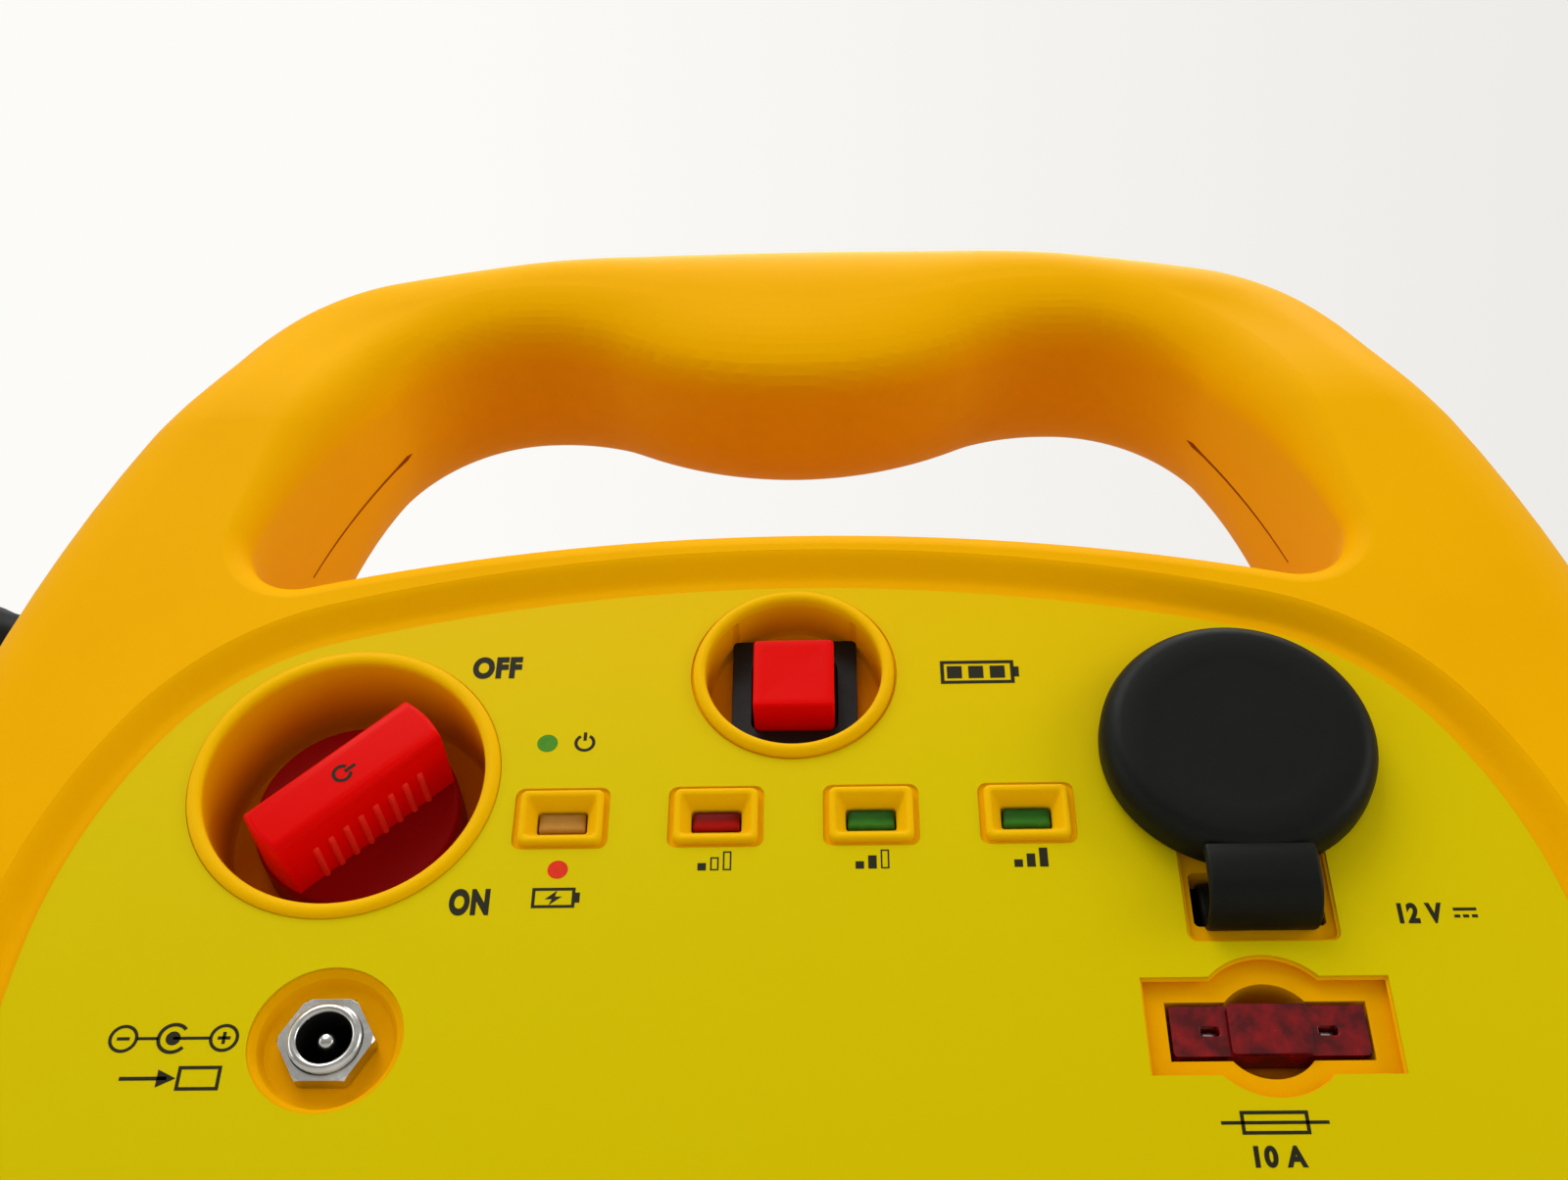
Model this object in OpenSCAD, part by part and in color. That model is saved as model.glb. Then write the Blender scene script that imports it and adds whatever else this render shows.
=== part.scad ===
// Portable jump starter pack: two moulded shells with a carrying handle round a sealed battery,
// a recessed control panel, and a clamp parked on each side at the end of a short battery cable.
// Frame: X to the viewer's right, Y to the back, Z up. The origin is on the floor under the middle.
// On the panel, a place is given as X, as "up" from the panel's datum line, and as depth behind the label.

/* [Casing] */
// Width across the sides
body_w = 205; // [198:1:215]
// Height from the floor to the crown of the handle
body_h = 271.5; // [262:0.5:300]
// Depth from the front face to the back
body_d = 112; // [106:1:130]
// Wall of both shells
wall = 2.6; // [2:0.1:3.2]
// Depth of the front shell, from its face to the parting line
front_d = 20; // [19:0.5:22]
// Depth of the handle
handle_d = 34.5; // [34:0.5:38]
// Height of the handle's crown above the panel's datum line
handle_rise = 71; // [70:0.5:76]
// Radius of the rounded edge of the front face
edge_r = 11; // [9:0.5:11.5]
// Distance of the handle's bar behind the front face
bar_in = 4; // [2:0.5:5]
// Depth of the bar's rounding in front
bar_front_d = 8; // [6:0.5:12]
// Depth of the bar's rounding behind
bar_back_d = 14; // [11:0.5:14]
// Radius of the rounded edge of the back
back_r = 13; // [10:1:14]
// Drop of the casing's top from the handle to the back
back_drop = 17; // [10:1:18]
// Radius of the handle's crown
crown_r = 280; // [270:10:340]
// Radius of the handle's shoulders
shoulder_r = 30; // [28:1:33]
// Angle at which the shoulders turn into the sides
shoulder_angle = 60; // [57:1:62]
// Radius of the sides
side_r = 195; // [185:5:200]
// Radius of the bottom corners
corner_r = 22; // [18:1:26]
// Height of the rubber feet
foot_h = 4; // [3:0.5:6]
// Radius of the rubber feet
foot_r = 10; // [8:0.5:12]

/* [Handle opening] */
// Height of the grip's lowest point above the datum line
grip_up = 41.5; // [40:0.5:42.5]
// Radius of the grip's swell
swell_r = 47; // [44:1:52]
// Radius of the finger hollows
finger_r = 25; // [24:1:28]
// Distance of the finger hollows from the middle
finger_x = 36; // [34:0.5:37.5]
// Radius of the opening's upper corners
corner_top_r = 21.5; // [20:0.5:22.5]
// Radius of the opening's sides
jamb_r = 96; // [92:1:100]
// Radius of the opening's lower corners
corner_low_r = 6.5; // [6:0.25:7.5]
// Radius of the rounded edge along the opening's floor
sill_edge_r = 3.5; // [2.5:0.25:4]

/* [Panel] */
// Depth of the panel's recess, to the top of the label
recess_d = 1.8; // [1.2:0.1:2.2]
// Width of the recess's sloping step
step_w = 2; // [1:0.1:2.4]
// Bare rim between the step and the label
rim_w = 1.5; // [1:0.1:2]
// Height of the label's crown above the datum line
label_up = 3.2; // [2.6:0.1:3.4]
// Height of the label
label_h = 103; // [98:1:106]
// Thickness of the label
label_t = 0.3; // [0.2:0.05:0.5]
// Gap between the label and what comes through it
label_gap = 0.25; // [0.15:0.05:0.4]

/* [Power switch] */
// Knob, distance left of the middle
knob_x = 49.9; // [49:0.1:51]
// Knob, distance under the datum line
knob_down = 22.8; // [22.4:0.1:24]
// Radius of the knob's well
well_r = 15.7; // [15.2:0.1:16]
// Width of the well's rolled rim
well_rim = 1.75; // [1.2:0.05:1.8]
// Depth of the well
well_d = 13; // [12:0.25:14]
// Radius of the knob
knob_r = 11.75; // [11:0.25:12.25]
// Depth of the knob's disc behind the label
knob_disc_d = 7; // [6.5:0.25:7.5]
// Height of the knob's bar over the label
knob_bar_out = 1.2; // [0.5:0.1:2]
// Width of the bar at its top
bar_w = 6.6; // [6:0.2:7]
// Width of the bar at its foot
bar_foot_w = 8.6; // [8:0.2:9]
// Angle of the bar when off
knob_angle = 43; // [40:1:45]
// Ribs on each flank of the bar
rib_count = 7; // [5:1:9]
// Radius of the spindle
spindle_r = 4; // [3:0.25:4.5]
// Radius of the switch
switch_r = 19; // [17:0.5:20]
// Depth of the switch
switch_h = 27; // [24:1:30]
// Radius of the switch's studs
stud_r = 3; // [2.5:0.25:3.5]
// Distance between the studs
stud_pitch = 18; // [16:0.5:19]

/* [Test button and lamps] */
// Test button, distance under the datum line
button_down = 9.15; // [8.6:0.05:9.4]
// Radius of the button's well
button_well_r = 10.15; // [10:0.05:10.4]
// Width of the raised ring round the well
button_ring_w = 1.4; // [1:0.1:1.5]
// Height of the raised ring over the label
button_ring_h = 0.9; // [0.5:0.1:1.2]
// Side of the button's cap
button_w = 9.3; // [8.6:0.1:9.6]
// Travel of the button
button_travel = 1.5; // [1:0.1:2]
// Width of the test switch
test_w = 14; // [13:0.25:14.25]
// Height of the test switch
test_h = 15; // [14:0.25:15.25]
// Depth of the test switch's face behind the label
test_face_d = 4.5; // [4:0.25:5]
// Distance between lamps
lamp_pitch = 16.87; // [16.5:0.01:17.5]
// Lamps, distance under the datum line
lamp_down = 28.2; // [27.8:0.1:29]
// Width of a lamp's bezel
bezel_w = 9.2; // [8.8:0.1:9.6]
// Height of a lamp's bezel
bezel_h = 6.7; // [6.3:0.1:7]
// Height of the bezel over the label
bezel_out = 0.6; // [0.4:0.1:0.8]
// Width of a lamp's lens
lens_w = 5.1; // [4.6:0.1:5.4]
// Height of a lamp's lens
lens_h = 2.4; // [2:0.1:2.8]
// Depth of the circuit board behind the label
board_d = 10; // [9.5:0.25:11]
// Thickness of the circuit board
board_t = 1.6; // [1:0.2:2]

/* [Accessory socket] */
// Socket, distance right of the middle
socket_x = 48.6; // [48:0.1:49.4]
// Socket, distance under the datum line
socket_down = 21; // [20.6:0.1:22]
// Radius of the socket's bore
socket_r = 10.5; // [10.45:0.05:10.6]
// Wall of the socket's barrel
barrel_wall = 1; // [0.8:0.1:1.2]
// Depth of the socket's bore
socket_h = 36; // [34:1:40]
// Radius of the cap
cap_r = 15; // [14.5:0.1:15.3]
// Height of the cap over the label
cap_out = 5; // [4:0.25:6]
// Radial gap between the cap's plug and the bore
plug_gap = 0.9; // [0.8:0.1:1.2]
// Depth of the cap's plug
plug_h = 5.5; // [4:0.25:5.75]
// Width of the cap's strap
strap_w = 11.6; // [11:0.1:12]
// Thickness of the strap
strap_t = 1.3; // [1:0.1:1.6]
// Mean radius of the strap's loop
strap_r = 3.2; // [3:0.1:3.5]
// Width of the strap's slot
slot_w = 15.1; // [14.6:0.1:15.6]

/* [Charging jack and fuse] */
// Jack, distance left of the middle
jack_x = 47.3; // [46.5:0.1:48]
// Jack, distance under the datum line
jack_down = 53.8; // [53:0.1:55]
// Radius of the jack's recess
jack_well_r = 7.05; // [6.8:0.05:7.4]
// Radius of the jack's threaded neck
jack_r = 3.8; // [3.6:0.05:3.9]
// Radius of the jack's hole
jack_hole_r = 2.75; // [2.7:0.05:2.8]
// Corner radius of the jack's nut
nut_r = 5.1; // [4.9:0.1:5.3]
// Fuse, distance right of the middle
fuse_x = 47.8; // [47:0.1:48.5]
// Fuse, distance under the datum line
fuse_down = 53.2; // [52.5:0.1:54]
// Width of the blade fuse
fuse_w = 19.2; // [19:0.1:19.3]
// Thickness of the blade fuse
fuse_t = 5; // [4.8:0.1:5.2]
// Width of the fuse's bevelled recess
fuse_recess_w = 24; // [23.6:0.1:24.6]
// Height of the fuse's bevelled recess
fuse_recess_h = 9.5; // [9.2:0.1:10]
// Radius of the finger circle round the fuse
finger_circle_r = 7.15; // [7:0.05:7.4]
// Depth of the finger hollow
fuse_hollow_d = 6; // [5:0.25:6.5]

/* [Battery] */
// Width of the battery
battery_w = 151; // [140:1:153]
// Depth of the battery
battery_d = 65; // [60:1:66]
// Height of the battery
battery_h = 94; // [88:1:96]
// Thickness of the foam beside the battery
foam_t = 4; // [3:0.25:5]

/* [Cables and clamps] */
// Diameter of the battery cables
cable_dia = 8; // [7:0.5:8.5]
// Angle of the cable's exit, from straight up
exit_angle = 72.4; // [71:0.2:74]
// Length of the gland outside the casing
gland_out = 11; // [9:0.5:13]
// Distance of the clamp's middle from the side of the casing
clamp_off = 13.5; // [13:0.25:16]
// Width of a clamp
clamp_w = 20; // [17:0.5:21]
// Height of the clamp's pivot
pivot_z = 118; // [115:1:119]
// Clamp, distance of its middle plane behind the parting line
clamp_back = 18; // [17.5:0.5:20]
// Length of a clamp's handles below the pivot
lever_h = 74; // [72:1:76]
// Height of the parking post above the pivot
post_up = 28; // [27:0.5:28.5]
// Radius of the parking post
post_r = 5; // [4.6:0.1:5.2]
// Radius of the pivot pin
pin_r = 2.5; // [2:0.1:3]
// Thickness of a clamp's cheeks
cheek_t = 2; // [1.6:0.1:2.4]

/* [Fits] */
// Radial gap of a turning or sliding fit
run_gap = 0.05; // [0.02:0.01:0.1]
// Gap between parts that pass each other
pass_gap = 0.3; // [0.2:0.05:0.4]

/* [Hidden] */
$fn = 64;
eps = 0.01;
over = 1;

casing_yellow = [0.9, 0.68, 0.02];
label_yellow = [0.8, 0.74, 0.02];
bright_red = [0.86, 0.05, 0.03];
rubber_black = [0.08, 0.09, 0.08];
plastic_black = [0.06, 0.06, 0.06];
nickel = [0.75, 0.75, 0.72];
copper = [0.75, 0.45, 0.25];

front_y = -body_d / 2;
back_y = body_d / 2;
part_y = front_y + front_d;
grip_y = front_y + handle_d;
label_y = front_y + recess_d;
panel_z = body_h - handle_rise;
half_w = body_w / 2;

// ---------- outlines: points [x, z, angle], the angle being the outward normal's from straight up ----------

// An arc that goes on from point p, whose normal turns from angle a to angle b; r under 0 bends inwards
function arc(p, r, a, b, n, first = 1) =
    [for (i = [first:n]) let (t = a + (b - a) * i / n) [p.x + r * (sin(t) - sin(a)), p.y + r * (cos(t) - cos(a)), t]];
// Arcs that follow each other, each [radius, last angle, steps]
function chain(pts, arcs, i = 0) =
    i == len(arcs) ? pts
    : let (e = pts[len(pts) - 1]) chain(concat(pts, arc(e, arcs[i][0], e[2], arcs[i][1], arcs[i][2])), arcs, i + 1);
// The right half and its mirror image, once round
function both(h, low = 0) =
    concat(h, [for (i = [len(h) - 1 - low:-1:1]) [-h[i].x, h[i].y, -h[i][2]]]);
// Where two circles meet, on the right
function meet(p, rp, q, rq) =
    let (d = norm(q - p), a = (rp * rp - rq * rq + d * d) / (2 * d), h = sqrt(rp * rp - a * a), u = (q - p) / d)
    p + a * u + h * [u.y, -u.x];
function clamp01(v) = max(0, min(1, v));

crown_a = asin((half_w - shoulder_r * sin(shoulder_angle) - side_r * (1 - sin(shoulder_angle)))
    / (crown_r - shoulder_r));
side_z = body_h - crown_r * (1 - cos(crown_a)) - shoulder_r * (cos(crown_a) - cos(shoulder_angle))
    - side_r * cos(shoulder_angle);
bottom_corner = arc([half_w, foot_h + corner_r], corner_r, 90, 180, 5, 0);

// The casing's outline with the handle
outer = both(concat(
    chain([[0, body_h, 0]], [[crown_r, crown_a, 5], [shoulder_r, shoulder_angle, 8], [side_r, 90, 5]]),
    bottom_corner));

// The casing's outline behind the handle, with its crown at height top
tank_r = 253;
tank_shoulder_r = 20;
function tank(top) =
    let (p = [0, top - tank_r], q = [half_w - side_r, side_z])
    let (c = meet(p, tank_r - tank_shoulder_r, q, side_r - tank_shoulder_r))
    let (a = atan2(c.x - p.x, c.y - p.y), b = atan2(c.x - q.x, c.y - q.y))
    both(concat(chain([[0, top, 0]], [[tank_r, a, 5], [tank_shoulder_r, b, 8], [side_r, 90, 5]]), bottom_corner));

// The handle opening
swell_a = asin(finger_x / (swell_r + finger_r));
opening_head = chain([[0, panel_z + grip_up, 0]], [
    [-swell_r, -swell_a, 4], [finger_r, 0, 4], [corner_top_r, 58, 7], [jamb_r, 76.5, 4], [corner_low_r, 193.5, 8]]);
sill_end = opening_head[len(opening_head) - 1];
opening = both(chain(opening_head, [[-sill_end.x / sin(13.5), 180, 5]]), 1);
sill_z = min([for (p = opening) if (abs(p.x) < over) p.y]);

// The bar's section is round before and behind, and its front lies bar_in behind the front face
bar_flat = 1;
bar_front = min(bar_front_d, front_d - bar_in - bar_flat);
bar_back = min(bar_back_d, handle_d - front_d - bar_flat / 2);
// Height of the bar's rounding at x
function bar_round(x) =
    let (a = min(abs(x), finger_x), swell_x = swell_r * sin(swell_a), k = (swell_r + finger_r) * (1 - cos(swell_a)))
    let (crown = body_h - crown_r + sqrt(crown_r * crown_r - a * a))
    let (grip = panel_z + grip_up + (a < swell_x ? swell_r - sqrt(swell_r * swell_r - a * a)
        : k - finger_r + sqrt(finger_r * finger_r - (finger_x - a) * (finger_x - a))))
    (crown - grip - bar_flat) / 2;
// How far a point's rounded edge is the bar's: round the opening, and round the outline
edge_grow_h = 32;
function hole_weight(p) = clamp01((p.y - sill_z + over) / edge_grow_h);
bar_low = panel_z + 30;
bar_grow_h = 26;
bar_grow_w = 30;
function outer_weight(p) = clamp01((p.y - bar_low) / bar_grow_h);
// How far the face lies behind the front plane at height z
function face_in(z) = bar_in * clamp01((z - bar_low) / bar_grow_h);
// Edges as [depth, height] in front and behind
function hole_edge(p, depth) = let (w = hole_weight(p))
    [sill_edge_r + (depth - sill_edge_r) * w, sill_edge_r + (bar_round(p.x) - sill_edge_r) * w];
function outer_edge(p, depth) = [edge_r + (depth - edge_r) * outer_weight(p),
    p.y < panel_z ? edge_r : edge_r + (bar_round(p.x) - edge_r) * clamp01(1 - (abs(p.x) - finger_x) / bar_grow_w)];

// The label
label_crown_r = 205;
label_shoulder_r = 32;
label_flank_r = 60;
label_side_r = 150;
label_corner_r = 14;
label_side = chain([[0, panel_z + label_up, 0]],
    [[label_crown_r, 15, 6], [label_shoulder_r, 57, 6], [label_flank_r, 84, 5], [label_side_r, 90, 2]]);
label_low = panel_z + label_up - label_h;
label_outline = both(concat(label_side,
    arc([label_side[len(label_side) - 1].x, label_low + label_corner_r], label_corner_r, 90, 180, 5, 0)));

// ---------- lofts ----------

// A ring of the outline at depth y, drawn in by e where the weight is 1
function ring(o, y, e, w = undef) =
    [for (i = [0:len(o) - 1]) let (k = is_undef(w) ? e : e * w[i])
        [o[i].x - k * sin(o[i][2]), y, o[i].y - k * cos(o[i][2])]];
module loft(rings) {
    n = len(rings[0]);
    m = len(rings);
    faces = concat(
        [[for (i = [0:n - 1]) i]],
        [[for (i = [n - 1:-1:0]) (m - 1) * n + i]],
        [for (k = [0:m - 2], i = [0:n - 1]) let (j = (i + 1) % n) [k * n + i, (k + 1) * n + i, (k + 1) * n + j]],
        [for (k = [0:m - 2], i = [0:n - 1]) let (j = (i + 1) % n) [k * n + i, (k + 1) * n + j, k * n + j]]);
    polyhedron([for (r = rings, p = r) p], faces);
}

// Rings round the outline's rounded edge, at angle t of it, drawn in by g: in front from depth y, behind from y
function front_ring(y, t, g = 0) =
    [for (p = outer) let (r = outer_edge(p, bar_front), e = g + (r.y - g) * (1 - cos(t)))
        [p.x - e * sin(p[2]), y + (t < 90 ? face_in(p.y - r.y * cos(p[2])) : 0) + (r.x - g) * (1 - sin(t)),
            p.y - e * cos(p[2])]];
function back_ring(y, t, g, w) =
    [for (i = [0:len(outer) - 1]) let (p = outer[i], r = outer_edge(p, bar_back), e = g + (r.y - g) * (1 - cos(t)) * w[i])
        [p.x - e * sin(p[2]), y - (r.x - g) * (1 - sin(t)), p.y - e * cos(p[2])]];

tank_top = sill_z - sill_edge_r - 0.6;
leg_low = side_z;
// 1 on the handle and its legs, falling to 0 where they run into the sides
leg_weight = [for (p = outer) clamp01((p.y - leg_low) / (sill_z - leg_low))];

module front_solid() {
    loft(concat(
        [for (t = [90, 80, 65, 48, 30, 12, 0]) front_ring(front_y, t)],
        [ring(outer, part_y, 0)]));
}
module front_cavity() {
    loft(concat(
        [for (t = [90, 60, 30, 0]) front_ring(label_y + wall, t, wall)],
        [ring(outer, part_y + over, wall)]));
}

// The rear shell's solid form, drawn in by the thickness t; its parting face stands out by lap
module rear_solid(t, lap) {
    gy = grip_y - t;
    flat_y = back_y - back_r;
    start_y = gy + 0.5;
    loft(concat(
        [ring(outer, part_y - lap, t)],
        [for (a = [0, 25, 50, 70, 90]) back_ring(gy, a, t, leg_weight)],
        [for (k = [0:4]) ring(tank(tank_top - back_drop * pow(sin(90 * k / 4), 2)),
            start_y + (flat_y - start_y) * k / 4, t)],
        [for (a = [30, 60, 90]) ring(tank(tank_top - back_drop), flat_y + (back_r - t) * sin(a),
            t + (back_r - t) * (1 - cos(a)))]));
}

// The handle opening as a solid, grown by g
function hole_ring(y, s, t, g) =
    [for (p = opening) let (r = hole_edge(p, s > 0 ? bar_front : bar_back), e = g + r.y * (1 - cos(t)))
        [p.x + e * sin(p[2]), y + (s > 0 && t < 90 ? face_in(p.y + r.y * cos(p[2])) : 0) + s * r.x * (1 - sin(t)),
            p.y + e * cos(p[2])]];
module opening_solid(g) {
    steps = [90, 80, 65, 48, 30, 12, 0];
    loft(concat(
        [hole_ring(front_y - over, 1, 90, g)], [for (t = steps) hole_ring(front_y, 1, t, g)],
        [for (i = [len(steps) - 1:-1:0]) hole_ring(grip_y, -1, steps[i], g)], [hole_ring(grip_y + over, -1, 90, g)]));
}
// What is cut away in front of the bar
module bar_front_cut() {
    translate([body_w, 0, 0]) rotate([90, 0, -90]) linear_extrude(2 * body_w) polygon([
        [-front_y + over, bar_low], [-front_y, bar_low], [-front_y - bar_in, bar_low + bar_grow_h],
        [-front_y - bar_in, body_h + over], [-front_y + over, body_h + over]]);
}

// ---------- places on the panel ----------

// Children stand at x and up on the panel, with +Z pointing into the pack from the label's face
module on_panel(x, up) {
    translate([x, label_y, panel_z + up]) rotate([-90, 0, 0]) children();
}
// A straight tube or rod from depth a to depth b
module rod(r, a, b) {
    translate([0, 0, a]) cylinder(r = r, h = b - a);
}
module block(w, h, a, b) {
    translate([-w / 2, -h / 2, a]) cube([w, h, b - a]);
}

lamp_x = [for (i = [-1.5:1:1.5]) i * lamp_pitch];
skin_d = label_t + wall;
cup_wall = 2;
well_floor = 2;
switch_d = well_d + well_floor;
socket_boss_t = 1.6;
socket_boss_w = 4;
flange_r = socket_r + 3;
flange_t = 1.6;
nut_seat_d = skin_d + socket_boss_t;
barrel_r = socket_r + barrel_wall;
socket_nut_r = barrel_r + 3.5;
hinge_down = socket_down + cap_r + 2.9;
hinge_out = 1;
slot_step = 0.7;
slot_top = -socket_down - cap_r + 4;
slot_bottom = -hinge_down - strap_r - strap_t / 2 - slot_step - 0.2;
slot_mid = (slot_top + slot_bottom) / 2;
slot_h = slot_top - slot_bottom;
// The slot's deep part starts under the socket's nut
slot_deep_top = -socket_down - socket_nut_r - pass_gap;
slot_deep_mid = (slot_deep_top + slot_bottom) / 2;
slot_deep_h = slot_deep_top - slot_bottom;
slot_pocket_d = 4;
jack_floor_d = 2;
jack_floor_t = 2.4;
fuse_pocket_w = fuse_w + 1.1;
fuse_pocket_h = fuse_t + 1.4;
fuse_step = 1.2;
fuse_top_d = 0.8;
fuse_floor_t = 1.5;
fuse_seat_d = fuse_hollow_d + fuse_floor_t;
finger_ledge = 2;
// Wall round the fuse's recess and the strap's slot
recess_wall = 1;
// Depth of the cuts that leave the ring and the bezels standing
proud_d = 5;
test_seat_d = board_d - 0.5;
button_floor_t = 2;
bezel_gap = [0.6, 0.5];
lens_bevel = 1.2;
lens_bevel_d = 0.8;
lens_gap = 0.2;

// Screws that join the shells: [x, height]
grip_screw_up = 60.4;
side_screw_in = 12;
side_screw_down = 62;
side_screw_x = half_w - wall - side_screw_in;
side_screw_z = panel_z - side_screw_down;
low_screw_z = foot_h + corner_r - 2;
screw_places = [[finger_x, panel_z + grip_screw_up], [side_screw_x, side_screw_z], [side_screw_x, low_screw_z]];
screw_r = 1.5;
screw_head_r = 3;
screw_head_h = 2;
screw_socket_r = 1;
screw_socket_h = 1.2;
screw_tip = 4;
screw_boss_r = 4.2;
screw_seat = 8;
// Wall round a screw's head in the rear shell
seat_wall = 2.3;

module each_screw() {
    for (s = [-1, 1], p = screw_places) translate([s * p.x, 0, p.y]) rotate([-90, 0, 0]) children();
}

module lamp_frames(w, h, a, b) {
    for (x = lamp_x) on_panel(x, -lamp_down) block(w, h, a, b);
}

// The outline of the fuse's recess or pocket: a bar across a finger circle
module fuse_shape(w, h, r) {
    square([w, h], center = true);
    circle(r);
}

// Bosses of the circuit board
board_boss_x = lamp_pitch;
board_boss_r = 3;
board_screw_r = 0.85;
board_screw_tip = skin_d + 3;
board_w = 62;
module board_bosses(r, a, b) {
    for (s = [-1, 1]) on_panel(s * board_boss_x, -lamp_down) rod(r, a, b);
}

module front_casing() {
    color(casing_yellow)
    difference() {
        union() {
            difference() {
                front_solid();
                difference() {
                    front_cavity();
                    opening_solid(wall);
                }
            }
            on_panel(-knob_x, -knob_down) rod(well_r + cup_wall, label_t, switch_d);
            on_panel(0, -button_down) rod(button_well_r + cup_wall, label_t, test_seat_d);
            on_panel(socket_x, -socket_down) rod(barrel_r + socket_boss_w, label_t, nut_seat_d);
            on_panel(-jack_x, -jack_down) rod(jack_well_r + cup_wall, label_t, jack_floor_d + jack_floor_t);
            on_panel(fuse_x, -fuse_down)
                block(fuse_recess_w + 2 * recess_wall, fuse_recess_h + 2 * recess_wall, label_t, fuse_seat_d);
            on_panel(socket_x, slot_deep_mid - recess_wall / 2)
                block(slot_w + 2 * recess_wall, slot_deep_h + recess_wall, label_t, skin_d + slot_pocket_d);
            board_bosses(board_boss_r, skin_d - wall / 2, board_d);
            intersection() {
                front_solid();
                each_screw() rod(screw_boss_r, front_y + wall, part_y);
            }
        }
        opening_solid(0);
        bar_front_cut();
        difference() {
            loft([
                ring(label_outline, front_y - over, -rim_w - step_w * (1 + over / recess_d)),
                ring(label_outline, label_y + label_t, -rim_w)]);
            on_panel(0, -button_down) rod(button_well_r + button_ring_w, -button_ring_h, proud_d);
            lamp_frames(bezel_w, bezel_h, -bezel_out, proud_d);
        }
        on_panel(-knob_x, -knob_down) {
            rod(well_r, -over, well_d);
            rod(spindle_r + pass_gap, 0, switch_d + over);
        }
        on_panel(0, -button_down) {
            rod(button_well_r, -recess_d - over, test_seat_d - button_floor_t);
            block(test_w + 2 * pass_gap, test_h + 2 * pass_gap, 0, board_d + over);
        }
        lamp_frames(lens_w + 2 * lens_bevel, lens_h + 2 * lens_bevel, -recess_d - over, label_t + lens_bevel_d);
        lamp_frames(lens_w + 2 * lens_gap, lens_h + 2 * lens_gap, -recess_d - over, proud_d);
        on_panel(socket_x, -socket_down) {
            rod(barrel_r + 2 * run_gap, -over, nut_seat_d + over);
            rod(flange_r + pass_gap, -over, label_t + flange_t);
        }
        on_panel(socket_x, slot_mid) block(slot_w, slot_h, -over, label_t + slot_step);
        on_panel(socket_x, slot_deep_mid) block(slot_w - 2 * slot_step, slot_deep_h - 2 * slot_step,
            0, skin_d + slot_pocket_d + over);
        on_panel(-jack_x, -jack_down) {
            rod(jack_well_r, -over, jack_floor_d);
            rod(jack_r + run_gap, 0, jack_floor_d + jack_floor_t + over);
        }
        on_panel(fuse_x, -fuse_down) {
            translate([0, 0, -over]) linear_extrude(over + label_t + fuse_step)
                fuse_shape(fuse_recess_w, fuse_recess_h, finger_circle_r);
            linear_extrude(fuse_hollow_d) fuse_shape(fuse_pocket_w, fuse_pocket_h, finger_circle_r - finger_ledge);
            block(fuse_w + 2 * pass_gap, fuse_t + 2 * pass_gap, 0, fuse_seat_d + over);
        }
        board_bosses(board_screw_r + run_gap, board_screw_tip - over, board_d + over);
        each_screw() rod(screw_r + run_gap, front_y + wall + screw_tip - over, part_y + over);
    }
}

// ---------- rear casing ----------

// Where the cable's axis leaves the right side of the casing
exit_x = half_w - side_r * (1 - sin(exit_angle));
exit_z = side_z + side_r * cos(exit_angle);
exit_back = 8;
exit_y = part_y + exit_back;
cable_r = cable_dia / 2;
gland_wall = 1.3;
gland_r = cable_r + gland_wall;
gland_tail = 4;
gland_in = wall + gland_tail;
// Children stand at the cable's exit on side s, with +Z pointing out
module at_exit(s) {
    translate([s * exit_x, exit_y, exit_z]) rotate([0, s * exit_angle, 0]) children();
}

floor_z = foot_h + wall;
strap_foot = 7;
strap_gauge = 1.5;
strap_width = 22;
battery_y = back_y - back_r - strap_foot - strap_gauge - battery_d / 2;
rib_x = battery_w / 2 + foam_t + pass_gap;
rib_t = 2.4;
rib_h = 46;
rib_in = 5;
foam_in = 3;
head_y = part_y + screw_seat;

module rear_casing() {
    color(casing_yellow)
    difference() {
        union() {
            difference() {
                rear_solid(0, 0);
                difference() {
                    rear_solid(wall, over);
                    opening_solid(wall);
                }
            }
            intersection() {
                rear_solid(0, 0);
                union() {
                    each_screw() rod(screw_head_r + pass_gap + seat_wall, part_y, back_y);
                    for (s = [-1, 1]) translate([s * (rib_x + rib_t / 2), battery_y, floor_z + rib_h / 2])
                        cube([rib_t, battery_d - 2 * rib_in, rib_h + 2 * over], center = true);
                }
            }
        }
        opening_solid(0);
        each_screw() {
            rod(screw_r + pass_gap, part_y - over, back_y + over);
            rod(screw_head_r + pass_gap, head_y, back_y + over);
        }
        for (s = [-1, 1]) at_exit(s) translate([0, 0, -gland_in - over])
            cylinder(r = gland_r + pass_gap, h = gland_in + over + 2 * wall);
    }
}

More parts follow.
